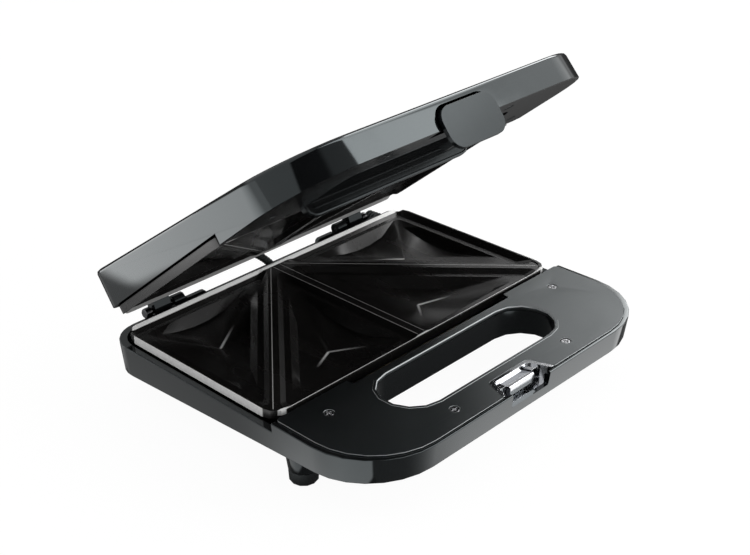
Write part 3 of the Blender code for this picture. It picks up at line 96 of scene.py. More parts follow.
# How strongly each fold from a well's lowest point to its three corners is dented and painted as a highlight
# line
inner_fold_highlights = (0.6, 1.0, 0.02)
outer_fold_highlights = (0.06, 0.05, 1.0)

camera_place = (-0.4694, -0.45825, 0.4034)
camera_azimuth = math.radians(-45.66)
camera_elevation = math.radians(27.68)
camera_roll = math.radians(-0.71)
camera_lens = 62.68
camera_sensor = 36.0

lamp_target = (0.0, -0.02, 0.08)
lamp_distance = 1.3
window_direction = (0.633, -0.588, 0.503)
front_direction = (0.55, -0.80, 0.24)

# The handle's front, and the corner of the base about which the floor's glow turns
base_front = -0.112
glow_corner = (cad_box[0][0] + 0.042, base_front + 0.040)

# What the camera sees of the floor: nearly white, with this share of it free of the shadow
floor_white = 1.04
floor_white_share = 0.92


def colour_property(name, description, default):
    return FloatVectorProperty(
        name=name, description=description, subtype="COLOR", size=3, min=0, max=1, default=default
    )


def length_property(name, description, default, highest, lowest=0):
    return FloatProperty(
        name=name, description=description, default=default, min=lowest, max=highest, unit="LENGTH"
    )


def angle_property(name, description, degrees):
    return FloatProperty(
        name=name,
        description=description,
        default=math.radians(degrees),
        min=0,
        max=math.pi,
        unit="ROTATION",
    )


def share_property(name, description, default):
    return FloatProperty(name=name, description=description, default=default, min=0, max=1, subtype="FACTOR")


def light_property(name, description, default):
    return FloatProperty(name=name, description=description, default=default, min=0, max=40)


class SandwichMakerColours(bpy.types.PropertyGroup):
    """Colours of the sandwich maker's finishes"""

    gloss_moulding: colour_property("Gloss moulding", "Base shell and lid cover", (0.0042, 0.0047, 0.0052))
    satin_moulding: colour_property("Satin moulding", "Inner moulding of the lid", (0.0042, 0.0045, 0.0048))
    panel_moulding: colour_property("Handle panel", "Flat top of the handle", (0.0030, 0.0036, 0.0040))
    latch_moulding: colour_property("Latch", "Dark grey plastic of the latch", (0.006, 0.0072, 0.008))
    gloss_tint: colour_property("Gloss tint", "Cool cast of the gloss on black plastic", (0.86, 0.97, 1.0))
    # Painted highlight along the handle panel's top edges, in this pale colour
    painted_edge_colour: colour_property("Edge line", "Burnished rim of the handle panel", (0.62, 0.65, 0.66))
    coating: colour_property("Coating", "Non-stick coating of the cooking plates", (0.0060, 0.0056, 0.0054))
    # This pale colour also paints the highlight lines on the plates' ridges and folds
    bare_rim: colour_property("Bare rim", "Bare aluminium round the plates' rim", (0.95, 0.95, 0.94))
    bright_plate: colour_property("Bright plating", "Plated catch", (0.62, 0.63, 0.65))
    zinc: colour_property("Zinc", "Plating of the screws", (0.36, 0.36, 0.37))
    blued_steel: colour_property("Blued steel", "Hinge pins, latch pin and spring", (0.10, 0.10, 0.105))
    element_sheath: colour_property("Element sheath", "Heat-darkened heating element", (0.20, 0.18, 0.16))
    ceramic: colour_property("Ceramic", "Thermostats and thermal fuse", (0.62, 0.58, 0.48))
    block_plastic: colour_property("Block plastic", "Terminal block", (0.66, 0.64, 0.56))
    rubber: colour_property("Rubber", "Feet, gland, sleeve and stud", (0.007, 0.007, 0.007))
    ready_lens: colour_property("Ready lens", "Green lens of the ready lamp", (0.04, 0.34, 0.10))
    power_lens: colour_property("Power lens", "Red lens of the power lamp", (0.50, 0.03, 0.02))
    dust: colour_property("Dust", "Fine pale dust", (0.55, 0.54, 0.52))
    floor: colour_property("Floor", "Pale studio floor", (0.80, 0.80, 0.80))


class SandwichMakerFinish(bpy.types.PropertyGroup):
    """Sizes and amounts of the sandwich maker's surface detail"""

    edge_rounding: length_property("Edge rounding", "Soft edges on moulded pieces", 0.0004, 0.002)
    frame_rounding: length_property("Frame rounding", "Soft edges on the lid frame", 0.0009, 0.002)
    plate_rounding: length_property("Plate rounding", "Soft edges on the cooking plates", 0.0006, 0.002)
    fitting_rounding: length_property("Fitting rounding", "Soft edges on the fittings", 0.0003, 0.002)
    small_rounding: length_property("Small rounding", "Soft edges on the smallest pieces", 0.0002, 0.002)
    crease_angle: angle_property("Crease angle", "Moulded edges sharper than this are rounded", 50)
    plate_crease_angle: angle_property("Plate crease angle", "Cast edges sharper than this are rounded", 20)
    gloss_roughness: share_property("Gloss roughness", "Roughness of the glossy moulding", 0.055)
    satin_roughness: share_property("Satin roughness", "Roughness of the satin moulding", 0.16)
    panel_roughness: share_property("Panel roughness", "Roughness of the handle panel", 0.38)
    coating_roughness: share_property("Coating roughness", "Roughness of the non-stick coating", 0.25)
    dust_amount: share_property("Dust", "How much fine dust lies on faces that look up", 0.010)
    # Width of the painted highlight line along the handle panel's edges
    painted_edge_width: length_property("Edge line", "Burnished line down the panel's edges", 0.0006, 0.002)
    bare_rim_width: length_property("Bare rim", "Bare metal along a plate's front and rear", 0.0030, 0.02)
    side_rim_width: length_property("Side rim", "Bare metal along a plate's left and right", 0.0004, 0.02)
    well_edge_border: length_property("Well edge border", "From the plate's edge to a well", 0.0083, 0.03)
    well_ridge_border: length_property("Well ridge border", "From a ridge's middle to a well", 0.0092, 0.03)
    # ridge_edge and slant_line place the painted highlight lines on the ridges
    ridge_edge: length_property("Ridge edge", "From a ridge's middle to its edge", 0.0027, 0.01)
    slant_line: length_property("Slant line", "Slanted ridge's middle to its rubbed line", 0.001, 0.003)
    # The folds are dented and painted as highlight lines this long and this wide
    fold_highlight_length: length_property("Fold length", "How far a well's folds stay crisp", 0.024, 0.05, 0.001)
    fold_highlight_width: length_property("Fold width", "Width of the folds in a well", 0.0012, 0.003)
    sleeve_radius: length_property("Sleeve radius", "Outer radius of the sleeve's ribs", 0.0025, 0.006, 0.001)
    sleeve_groove: length_property("Sleeve groove", "Depth between the sleeve's ribs", 0.0005, 0.001)
    sleeve_ribs: IntProperty(
        name="Sleeve ribs", description="Number of ribs along the wire sleeve", default=26, min=4, max=80
    )


class SandwichMakerStudio(bpy.types.PropertyGroup):
    """Sizes and strengths of the studio round the sandwich maker"""

    floor_size: length_property("Floor size", "Side of the floor", 12.0, 100, 1)
    window_width: length_property("Window width", "Width of the soft window", 0.9, 10, 0.05)
    window_height: length_property("Window height", "Height of the soft window", 0.6, 10, 0.05)
    front_width: length_property("Front width", "Width of the soft front lamp", 0.7, 10, 0.05)
    front_height: length_property("Front height", "Height of the soft front lamp", 0.5, 10, 0.05)
    surround: light_property("Surround", "Brightness of the room as a light", 0.85)
    window_radiance: light_property("Window", "Brightness of the large soft window", 2.4)
    front_radiance: light_property("Front fill", "Brightness of the soft front lamp", 7.0)
    sweep_radiance: light_property("Sweep", "Brightness of the low card beside the lid", 3.4)
    window_high: light_property("Window top", "The window's brightness in gloss, high up", 5.8)
    window_low: light_property("Window foot", "The window's brightness in gloss, low down", 2.3)
    strip_radiance: light_property("Strip", "Brightness of the high strip that lights the edges", 5.0)
    panel_radiance: light_property("Side window", "Brightness of the window on the right", 8.0)


def colours():
    return bpy.context.scene.sandwich_maker_colours


def finish():
    return bpy.context.scene.sandwich_maker_finish


def studio():
    return bpy.context.scene.sandwich_maker_studio


# Node helpers
def new_material(name):
    """A material with an output and one Principled shader."""
    material = bpy.data.materials.new(name)
    material.use_nodes = True
    return material, material.node_tree, material.node_tree.nodes["Principled BSDF"]


def feed(tree, node, values):
    """Links each of these inputs of a node to the socket that is given for it, or sets its value."""
    for key, value in values.items():
        if isinstance(value, bpy.types.NodeSocket):
            tree.links.new(value, node.inputs[key])
        else:
            node.inputs[key].default_value = value


def new_node(tree, kind, values=None, **settings):
    """A node of this kind, with its settings, whose inputs are linked to sockets or set to values."""
    node = tree.nodes.new(kind)
    for key, value in settings.items():
        setattr(node, key, value)
    feed(tree, node, values or {})
    return node


def add(tree, kind, values=None, **settings):
    return new_node(tree, "ShaderNode" + kind, values, **settings)


def maths(tree, operation, first, second=0.0, third=0.0, clamp=False):
    node = add(tree, "Math", {0: first, 1: second, 2: third}, operation=operation, use_clamp=clamp)
    return node.outputs[0]


def times(tree, first, second):
    return maths(tree, "MULTIPLY", first, second)


def arrow_maths(tree, operation, first, second=(0.0, 0.0, 0.0)):
    """Sums and products of places and arrows. Lengths and dot products are plain numbers."""
    node = add(tree, "VectorMath", {0: first, 1: second}, operation=operation)
    return node.outputs["Value" if operation in ("LENGTH", "DOT_PRODUCT") else "Vector"]


def one_axis(tree, place, axis):
    return add(tree, "SeparateXYZ", {0: place}).outputs[axis]


def object_place(tree):
    return add(tree, "TexCoord").outputs["Object"]


def stretched(tree, place, scale, turn=(0.0, 0.0, 0.0)):
    """A place turned and scaled, so that noise on it runs in lines."""
    return add(tree, "Mapping", {"Vector": place, "Rotation": turn, "Scale": scale}).outputs[0]


def noise(tree, place, scale, detail=3.0, roughness=0.55):
    node = add(tree, "TexNoise", {"Vector": place, "Scale": scale, "Detail": detail, "Roughness": roughness})
    return node.outputs["Fac"]


def bump(tree, height, strength, distance=0.00005):
    return add(tree, "Bump", {"Height": height, "Strength": strength, "Distance": distance}).outputs["Normal"]


def step_up(tree, value, low, high, from_value=0.0, to_value=1.0):
    """A smooth step of value, from from_value at low to to_value at high."""
    span = {"Value": value, "From Min": low, "From Max": high, "To Min": from_value, "To Max": to_value}
    return add(tree, "MapRange", span, interpolation_type="SMOOTHSTEP").outputs["Result"]


def step_down(tree, value, low, high):
    """A smooth step of value, from 1 at low to 0 at high."""
    return step_up(tree, value, low, high, 1.0, 0.0)


def band(tree, value, opens, full, fades, shut):
    """A mask that is 1 from full to fades, with soft sides down to 0 at opens and at shut."""
    return times(tree, step_up(tree, value, opens, full), step_down(tree, value, fades, shut))


def towards(tree, level, target, mask):
    """A level that becomes target where the mask is 1."""
    return add(tree, "Mix", {0: mask, 2: level, 3: target}).outputs[0]


def rgba(colour, shade=1.0):
    return (*(min(1.0, channel * shade) for channel in colour), 1.0)


def mix_colour(tree, mask, first, second):
    """The second colour where the mask is 1, on the first."""
    return add(tree, "Mix", {0: mask, 6: first, 7: second}, data_type="RGBA").outputs[2]


def two_tones(tree, mask, colour, low, high=1.0):
    """A colour that is shaded by low where the mask is 0 and by high where it is 1."""
    return mix_colour(tree, mask, rgba(colour, low), rgba(colour, high))


def new_group(name, inputs):
    """A shader node group whose inputs have these names and defaults. Gives the inputs' sockets too."""
    kinds = {3: "NodeSocketVector", 4: "NodeSocketColor"}
    group = bpy.data.node_groups.new(name, "ShaderNodeTree")
    for title, default in inputs.items():
        kind = kinds[len(default)] if isinstance(default, tuple) else "NodeSocketFloat"
        group.interface.new_socket(title, in_out="INPUT", socket_type=kind).default_value = default
    return group, new_node(group, "NodeGroupInput").outputs


def put_out(group, results):
    """Gives a group its outputs, each from the socket that makes it."""
    for title, socket in results.items():
        kind = "NodeSocketColor" if socket.type == "RGBA" else "NodeSocketFloat"
        group.interface.new_socket(title, in_out="OUTPUT", socket_type=kind)
    new_node(group, "NodeGroupOutput", results)
    return group


# Effects that several finishes share
def fine_dust():
    """Pale dust on faces that look up, thicker in patches, and tiny specks."""
    defaults = {"Colour": (0.01, 0.01, 0.01, 1), "Dust colour": (0.5, 0.5, 0.5, 1), "Amount": 0.05}
    group, given = new_group("Fine dust", defaults)
    patch_scale, speck_scale, speck_weight = 38.0, 2600.0, 1.6
    place = add(group, "TexCoord").outputs
    upwards = step_up(group, one_axis(group, place["Normal"], "Z"), 0.1, 1.0)
    patches = step_up(group, noise(group, place["Object"], patch_scale), 0.35, 0.75, 0.25, 1.0)
    specks = step_up(group, noise(group, place["Object"], speck_scale, detail=1.0), 0.74, 0.80)
    film = times(group, times(group, upwards, patches), given["Amount"])
    spots = times(group, specks, times(group, given["Amount"], speck_weight))
    mask = maths(group, "ADD", film, spots, clamp=True)
    dusty = mix_colour(group, mask, given["Colour"], given["Dust colour"])
    return put_out(group, {"Colour": dusty, "Mask": mask})


def handling_marks():
    """Roughness that varies softly where fingers and cloths have been, with faint hairlines."""
    group, given = new_group("Handling marks", {"Roughness": 0.1, "Smears": 0.04, "Hairlines": 0.03})
    smear_scale, hairline_stretch, hairline_turn = 22.0, (26.0, 900.0, 260.0), (0.3, 0.2, 0.7)
    place = object_place(group)
    smear = step_up(group, noise(group, place, smear_scale, detail=4.0, roughness=0.6), 0.42, 0.72)
    turned = stretched(group, place, hairline_stretch, hairline_turn)
    line = step_up(group, noise(group, turned, 1.0, detail=1.0), 0.66, 0.72)
    smeared = maths(group, "MULTIPLY_ADD", smear, given["Smears"], given["Roughness"])
    return put_out(group, {"Roughness": maths(group, "MULTIPLY_ADD", line, given["Hairlines"], smeared)})


def moulded_skin():
    """The height of a moulded surface: a slow waviness and a fine grain."""
    defaults = {"Wave size": 30.0, "Wave": 0.5, "Grain size": 1500.0, "Grain": 0.05}
    group, given = new_group("Moulded skin", defaults)
    place = object_place(group)
    wave = times(group, noise(group, place, given["Wave size"], detail=1.0), given["Wave"])
    grain = noise(group, place, given["Grain size"], detail=2.0)
    return put_out(group, {"Height": maths(group, "MULTIPLY_ADD", grain, given["Grain"], wave)})


def cast_skin():
    """Fine pebbling of a sprayed coating over cast metal, with pale pinpoint specks and wiped streaks."""
    group, given = new_group("Cast skin", {"Pebble size": 1700.0, "Speck size": 900.0})
    sparse_scale, wiping_stretch = 400.0, (60.0, 14.0, 40.0)
    place = object_place(group)
    pebbles = noise(group, place, given["Pebble size"], detail=2.0)
    cells = add(group, "TexVoronoi", {"Vector": place, "Scale": given["Speck size"]}).outputs["Distance"]
    specks = step_down(group, cells, 0.10, 0.16)
    sparse = step_up(group, noise(group, place, sparse_scale, detail=1.0), 0.52, 0.60)
    wiping = noise(group, stretched(group, place, wiping_stretch), 1.0)
    return put_out(group, {"Height": pebbles, "Specks": times(group, specks, sparse), "Wiping": wiping})


def drawn_metal():
    """Fine lines that run one way over metal, as a height and a mask."""
    group, given = new_group("Drawn metal", {"Stretch": (40.0, 1400.0, 1400.0)})
    lines = noise(group, stretched(group, object_place(group), given["Stretch"]), 1.0, detail=2.0)
    return put_out(group, {"Height": lines, "Lines": step_up(group, lines, 0.35, 0.65)})


def well_fold_highlight():
    """A crisp fold that runs from a well's lowest point towards one corner and fades, as a mask for a dent
    and a painted highlight line.
    """
    begin = 0.0004
    defaults = {
        "Place": (0.0, 0.0, 0.0),
        "Lowest": (0.0, 0.0, 0.0),
        "Towards": (1.0, 0.0, 0.0),
        "Length": 0.02,
        "Width": 0.0007,
    }
    group, given = new_group("Well fold highlight", defaults)
    away = arrow_maths(group, "SUBTRACT", given["Place"], given["Lowest"])
    along = arrow_maths(group, "DOT_PRODUCT", away, given["Towards"])
    across = arrow_maths(group, "LENGTH", arrow_maths(group, "CROSS_PRODUCT", away, given["Towards"]))
    narrow = step_down(group, across, 0.0, given["Width"])
    begins = step_up(group, along, -begin, begin)
    fades = step_down(group, along, 0.0, given["Length"])
    return put_out(group, {"Line": times(group, narrow, times(group, begins, fades))})


effect_makers = {
    "Fine dust": fine_dust,
    "Handling marks": handling_marks,
    "Moulded skin": moulded_skin,
    "Cast skin": cast_skin,
    "Drawn metal": drawn_metal,
    "Well fold highlight": well_fold_highlight,
}


def effect(tree, name, values=None):
    """Places a shared effect, which is made the first time it is asked for, and gives its outputs."""
    group = bpy.data.node_groups.get(name) or effect_makers[name]()
    return add(tree, "Group", values, node_tree=group).outputs


# Finishes
def painted_edge_highlight(tree, place, top, colour):
    """A painted highlight: a paler line where a piece's sides reach its flat top."""
    width = finish().painted_edge_width
    facing = add(tree, "NewGeometry").outputs["Normal"]
    sideways = step_down(tree, one_axis(tree, facing, "Z"), 0.90, 0.97)
    from_top = maths(tree, "SUBTRACT", top, one_axis(tree, place, "Z"))
    near = step_down(tree, from_top, width * 0.8, width * 1.1)
    return mix_colour(tree, times(tree, sideways, near), colour, rgba(colours().painted_edge_colour))


def moulding(name, colour, roughness, dust=1.0, smears=0.05, wave=0.6, grain=0.03, ior=1.5, flat_top=None):
    """Dark moulded plastic or rubber: soft waviness in the gloss, handling marks and a trace of dust.

    flat_top is the height of the piece's flat top, whose edges get a painted highlight line.
    """
    cloud_scale, dulled_by_dust, skin_strength, skin_height = 16.0, 0.4, 0.25, 0.0003
    material, tree, shader = new_material(name)
    place = object_place(tree)
    clouds = step_up(tree, noise(tree, place, cloud_scale, detail=2.0), 0.3, 0.7)
    body = two_tones(tree, clouds, colour, low=0.9, high=1.12)
    amount = finish().dust_amount * dust
    dusty = effect(tree, "Fine dust", {"Colour": body, "Dust colour": rgba(colours().dust), "Amount": amount})
    wear_and_highlights = {"Roughness": roughness, "Smears": smears, "Hairlines": smears * 0.6}
    marked = effect(tree, "Handling marks", wear_and_highlights)["Roughness"]
    skin = effect(tree, "Moulded skin", {"Wave": wave, "Grain": grain})
    shade = dusty["Colour"]
    # Paint a highlight line along the edges of the flat top
    if flat_top is not None:
        shade = painted_edge_highlight(tree, place, flat_top, shade)
    values = {
        "Base Color": shade,
        "Roughness": maths(tree, "MULTIPLY_ADD", dusty["Mask"], dulled_by_dust, marked, clamp=True),
        "Normal": bump(tree, skin["Height"], skin_strength, skin_height),
        "IOR": ior,
        "Specular Tint": rgba(colours().gloss_tint),
    }
    feed(tree, shader, values)
    return material


def inset_corners(corners, insets):
    """Corners of a triangle whose sides have moved inwards. Corners run anticlockwise."""
    lines = []
    for index, inset in enumerate(insets):
        start, end = Vector(corners[index]), Vector(corners[(index + 1) % 3])
        along = (end - start).normalized()
        lines.append((start + Vector((-along.y, along.x)) * inset, along))
    moved = []
    for index in range(3):
        (p, u), (q, v) = lines[index - 1], lines[index]
        moved.append(p + u * ((q - p).cross(v) / u.cross(v)))
    return moved


def fold_highlight_lines(tree, place, half_x, half_y):
    """The folds of the wells on one half of a plate, which place mirrors to the other half, as a mask that
    the plates dent and paint as highlight lines.
    """
    sizes = finish()
    edge, ridge = sizes.well_edge_border, sizes.well_ridge_border
    front_middle, front_corner = (0, -half_y), (half_x, -half_y)
    rear_middle, rear_corner = (0, half_y), (half_x, half_y)
    inner = inset_corners([front_middle, front_corner, rear_middle], (edge, ridge, ridge))
    outer = inset_corners([front_corner, rear_corner, rear_middle], (edge, edge, ridge))
    lines = 0.0
    for well, strengths in ((inner, inner_fold_highlights), (outer, outer_fold_highlights)):
        lowest = sum(well, Vector((0, 0))) / 3
        for corner, strength in zip(well, strengths):
            arm = (corner - lowest).normalized()
            values = {
                "Place": place,
                "Lowest": (*lowest, 0.0),
                "Towards": (*arm, 0.0),
                "Length": sizes.fold_highlight_length,
                "Width": sizes.fold_highlight_width,
            }
            fold = times(tree, effect(tree, "Well fold highlight", values)["Line"], strength)
            lines = maths(tree, "MAXIMUM", fold, lines)
    return lines


def painted_ridge_highlights(tree, place, half_x, half_y):
    """Painted highlights: thin pale lines along the edges of the middle ridge, and one along each slanted
    ridge.
    """
    sizes = finish()
    core, reach = 0.00012, 0.00035
    middle_highlight, slant_highlight = 0.35, 0.45
    slant = Vector((half_x, -2 * half_y)).normalized()
    away = arrow_maths(tree, "SUBTRACT", place, (0.0, half_y, 0.0))
    from_slant = one_axis(tree, arrow_maths(tree, "CROSS_PRODUCT", away, (*slant, 0.0)), "Z")
    from_middle = one_axis(tree, place, "X")
    # Each painted highlight line: its distance, its offset and its strength
    highlighted = (from_middle, sizes.ridge_edge, middle_highlight), (from_slant, -sizes.slant_line, slant_highlight)
    wear_and_highlights = []
    for distance, line, amount in highlighted:
        off_line = maths(tree, "ABSOLUTE", maths(tree, "SUBTRACT", distance, line))
        wear_and_highlights.append(step_up(tree, off_line, core, reach, amount, 0.0))
    return maths(tree, "MAXIMUM", *wear_and_highlights)


def bare_metal(tree, place, from_side, from_end, depth, bare_side):
    """Where the rim is bare: along its top and, on a plate with bare sides, down its left and right."""
    width, side_width = finish().bare_rim_width, finish().side_rim_width
    soft_edge, wander_scale, dulled = 0.0003, 90.0, 0.3
    wander = maths(tree, "SUBTRACT", noise(tree, place, wander_scale, detail=1.0), 0.5)
    wander = times(tree, wander, soft_edge)
    narrower = maths(tree, "ADD", from_side, width - side_width)
    from_edge = maths(tree, "ADD", maths(tree, "MINIMUM", narrower, from_end), wander)
    bare = step_down(tree, from_edge, width - soft_edge, width)
    shallow = step_down(tree, depth, *rim_depth)
    outer = step_down(tree, maths(tree, "MINIMUM", from_side, from_end), *outer_face_inset)
    if bare_side:
        on_top = times(tree, shallow, maths(tree, "SUBTRACT", 1.0, outer))
        on_side = times(tree, outer, step_down(tree, from_side, *corner_inset))
        allowed = maths(tree, "MAXIMUM", on_top, on_side)
    else:
        allowed = times(tree, shallow, step_up(tree, outer, 0.0, 1.0, dulled, 0.0))
    return times(tree, bare, allowed)


def coated_plate(name, node_name, turn, outwards, bare_side):
    """Non-stick coating in the wells, and bare metal along the rim.

    turn brings the plate's mask upright about the hinge, outwards is the way its depth runs,
    and bare_side says that its left and right sides are bare metal as well.
    """
    shades, sizes = colours(), finish()
    material, tree, shader = new_material(name)
    place = object_place(tree)
    upright = {"Vector": place, "Center": hinge, "Angle": turn}
    flat = add(tree, "VectorRotate", upright, rotation_type="X_AXIS").outputs[0]
    turned = Matrix.Rotation(turn, 3, "X")
    corners = [turned @ (vertex.co - hinge) + hinge for vertex in cad_nodes[node_name].data.vertices]
    low, high = ([limit(axis) for axis in zip(*corners)] for limit in (min, max))
    half_x, half_y, middle_y = high[0], (high[1] - low[1]) / 2, (high[1] + low[1]) / 2
    rim_top = high[2] if outwards < 0 else low[2]

    # Distances from the plate's sides, its ends and the top of its rim
    split = add(tree, "SeparateXYZ", {0: flat}).outputs
    along_x = maths(tree, "ABSOLUTE", split["X"])
    along_y = maths(tree, "SUBTRACT", split["Y"], middle_y)
    from_side = maths(tree, "SUBTRACT", half_x, along_x)
    from_end = maths(tree, "SUBTRACT", half_y, maths(tree, "ABSOLUTE", along_y))
    inset = maths(tree, "MINIMUM", from_side, from_end)
    depth = times(tree, maths(tree, "SUBTRACT", split["Z"], rim_top), outwards)

    # Bare metal, painted highlight lines along the ridges, and crisp folds that are dented and painted as
    # highlight lines
    bare = bare_metal(tree, place, from_side, from_end, depth, bare_side)
    half_place = add(tree, "CombineXYZ", {"X": along_x, "Y": along_y}).outputs[0]
    highlighted_folds = times(tree, fold_highlight_lines(tree, half_place, half_x, half_y), step_up(tree, depth, *well_depth))
    inside_rim = step_up(tree, inset, sizes.bare_rim_width, sizes.bare_rim_width + rim_blend)
    on_ridge = times(tree, inside_rim, step_down(tree, depth, *ridge_depth))
    highlighted = times(tree, painted_ridge_highlights(tree, half_place, half_x, half_y), on_ridge)
    bare_and_highlight_share = maths(tree, "MAXIMUM", bare, maths(tree, "MAXIMUM", highlighted, highlighted_folds))

    # Colour, roughness and grain
    metal_roughness, metal_variation, coating_variation = 0.33, 0.05, 0.03
    speck_share, bare_metallic, fold_depth, grain_strength = 0.06, 0.05, -5.0, 0.22
    skin = effect(tree, "Cast skin")
    lines = effect(tree, "Drawn metal", {"Stretch": (30.0, 700.0, 700.0)})["Lines"]
    wiped = step_up(tree, skin["Wiping"], 0.3, 0.7)
    dark = two_tones(tree, wiped, shades.coating, low=0.8, high=1.3)
    dark = mix_colour(tree, times(tree, skin["Specks"], speck_share), dark, rgba(shades.dust))
    rough_coat = maths(tree, "MULTIPLY_ADD", wiped, coating_variation, sizes.coating_roughness)
    rough_metal = maths(tree, "MULTIPLY_ADD", lines, metal_variation, metal_roughness)
    pebbles = times(tree, skin["Height"], maths(tree, "SUBTRACT", 1.0, bare))
    height = maths(tree, "MULTIPLY_ADD", highlighted_folds, fold_depth, pebbles)
    values = {
        # The bare rim's pale colour is also painted on the ridges and folds as highlight lines
        "Base Color": mix_colour(tree, bare_and_highlight_share, dark, two_tones(tree, lines, shades.bare_rim, 0.93)),
        "Roughness": towards(tree, rough_coat, rough_metal, bare),
        "Metallic": times(tree, bare, bare_metallic),
        "Normal": bump(tree, height, grain_strength),
    }
    feed(tree, shader, values)
    return material


def bright_metal(name, colour, roughness, stretch, strength=0.05):
    """Plated or drawn metal with fine lines."""
    material, tree, shader = new_material(name)
    lines = effect(tree, "Drawn metal", {"Stretch": stretch})
    marks = effect(tree, "Handling marks", {"Roughness": roughness, "Smears": 0.06, "Hairlines": 0.04})
    values = {
        "Base Color": two_tones(tree, lines["Lines"], colour, low=0.9),
        "Roughness": marks["Roughness"],
        "Normal": bump(tree, lines["Height"], strength),
        "Metallic": 1.0,
    }
    feed(tree, shader, values)
    return material


def heated_sheath(name, colour):
    """Heating element sheath with patches of heat tint."""
    patch_scale, straw_tint = 45.0, (1.3, 1.1, 0.9)
    material, tree, shader = new_material(name)
    patches = step_up(tree, noise(tree, object_place(tree), patch_scale), 0.35, 0.7)
    straw = [channel * tint for channel, tint in zip(colour, straw_tint)]
    values = {
        "Base Color": mix_colour(tree, patches, rgba(colour), rgba(straw)),
        "Roughness": step_up(tree, patches, 0.0, 1.0, 0.3, 0.5),
        "Normal": bump(tree, effect(tree, "Drawn metal")["Height"], strength=0.1),
        "Metallic": 1.0,
    }
    feed(tree, shader, values)
    return material


def fired_ceramic(name, colour, roughness):
    """Matt ceramic or filled plastic with a fine grain."""
    grain_scale = 260.0
    material, tree, shader = new_material(name)
    grain = step_up(tree, noise(tree, object_place(tree), grain_scale), 0.3, 0.7)
    skin = effect(tree, "Moulded skin", {"Wave": 0.1, "Grain": 0.6})
    values = {
        "Base Color": two_tones(tree, grain, colour, low=0.85),
        "Normal": bump(tree, skin["Height"], strength=0.3, distance=0.0001),
        "Roughness": roughness,
    }
    feed(tree, shader, values)
    return material


def clear_lens(name, colour):
    """Tinted clear plastic with fine ribs moulded inside."""
    material, tree, shader = new_material(name)
    bands = {"Vector": object_place(tree), "Scale": 320.0, "Distortion": 0.0}
    ribs = add(tree, "TexWave", bands, wave_type="BANDS").outputs["Fac"]
    values = {
        "Base Color": two_tones(tree, ribs, colour, low=0.6),
        "Normal": bump(tree, ribs, strength=0.15, distance=0.0001),
        "Roughness": 0.12,
        "Transmission Weight": 0.35,
        "IOR": 1.49,
    }
    feed(tree, shader, values)
    return material


# Soft edges on the solids
def geometry_group(name):
    group = bpy.data.node_groups.new(name, "GeometryNodeTree")
    for in_out in ("INPUT", "OUTPUT"):
        group.interface.new_socket("Geometry", in_out=in_out, socket_type="NodeSocketGeometry")
    return group


def weld_group():
    """Nodes that weld a solid's corners and drop its stored normals."""
    group = geometry_group("Weld corners")
    solid = new_node(group, "NodeGroupInput").outputs[0]
    weld = {"Geometry": solid, "Distance": weld_distance}
    welded = new_node(group, "GeometryNodeMergeByDistance", weld).outputs[0]
    drop = {"Geometry": welded, "Name": "custom_normal"}
    plain = new_node(group, "GeometryNodeRemoveAttribute", drop).outputs[0]
    new_node(group, "NodeGroupOutput", {0: plain})
    return group


def crease_group():
    """Nodes that shade a mesh smooth, except along edges sharper than an angle."""
    group = geometry_group("Smooth with creases")
    group.interface.new_socket("Crease angle", in_out="INPUT", socket_type="NodeSocketFloat")
    given = new_node(group, "NodeGroupInput").outputs
    smooth = new_node(group, "GeometryNodeSetShadeSmooth", {"Geometry": given["Geometry"]}).outputs[0]
    angle = new_node(group, "GeometryNodeInputMeshEdgeAngle").outputs["Unsigned Angle"]
    limit = {"A": angle, "B": given["Crease angle"]}
    sharper = new_node(group, "FunctionNodeCompare", limit, operation="GREATER_THAN").outputs[0]
    sharpen = {"Geometry": smooth, "Selection": sharper, "Shade Smooth": False}
    creased = new_node(group, "GeometryNodeSetShadeSmooth", sharpen, domain="EDGE").outputs[0]
    new_node(group, "NodeGroupOutput", {0: creased})
    return group


def add_nodes_modifier(piece, name, maker):
    modifier = piece.modifiers.new(name, "NODES")
    modifier.node_group = bpy.data.node_groups.get(name) or maker()
    return modifier


def soften(piece, width, crease, segments):
    """Welds a solid, joins its flat faces, rounds its sharp edges and weights its normals."""
    add_nodes_modifier(piece, "Weld corners", weld_group)
    flatten = piece.modifiers.new("Join flat faces", "DECIMATE")
    flatten.decimate_type = "DISSOLVE"
    flatten.angle_limit = flat_angle
    if width:
        rounding = piece.modifiers.new("Soft edges", "BEVEL")
        rounding.width = width
        rounding.segments = segments
        rounding.limit_method = "ANGLE"
        rounding.angle_limit = crease
        rounding.use_clamp_overlap = True
    smooth = add_nodes_modifier(piece, "Smooth with creases", crease_group)
    smooth["Socket_2"] = crease
    weighted = piece.modifiers.new("Weighted normals", "WEIGHTED_NORMAL")
    weighted.mode = "FACE_AREA_WITH_ANGLE"
    weighted.weight = 90
    weighted.keep_sharp = True


def dress(names, material, width=0.0, crease=None, segments=2):
    """Gives CAD solids their finish and soft edges."""
    for name in names:
        piece = cad_nodes[name]
        piece.data.materials.clear()
        piece.data.materials.append(material)
        soften(piece, width, finish().crease_angle if crease is None else crease, segments)


# Wire sleeve
def smooth_route(knots, steps):
    """Points of a smooth curve through the knots."""
    points = []
    last = len(knots) - 1
    for index in range(last):
        before, start = knots[max(index - 1, 0)], knots[index]
        end, after = knots[index + 1], knots[min(index + 2, last)]
        for step in range(steps):
            t = step / steps
            point = 2 * start + (end - before) * t
            point += (2 * before - 5 * start + 4 * end - after) * t * t
            point += (3 * start - 3 * end + after - before) * t * t * t
            points.append(point / 2)
    points.append(knots[-1])
    return points


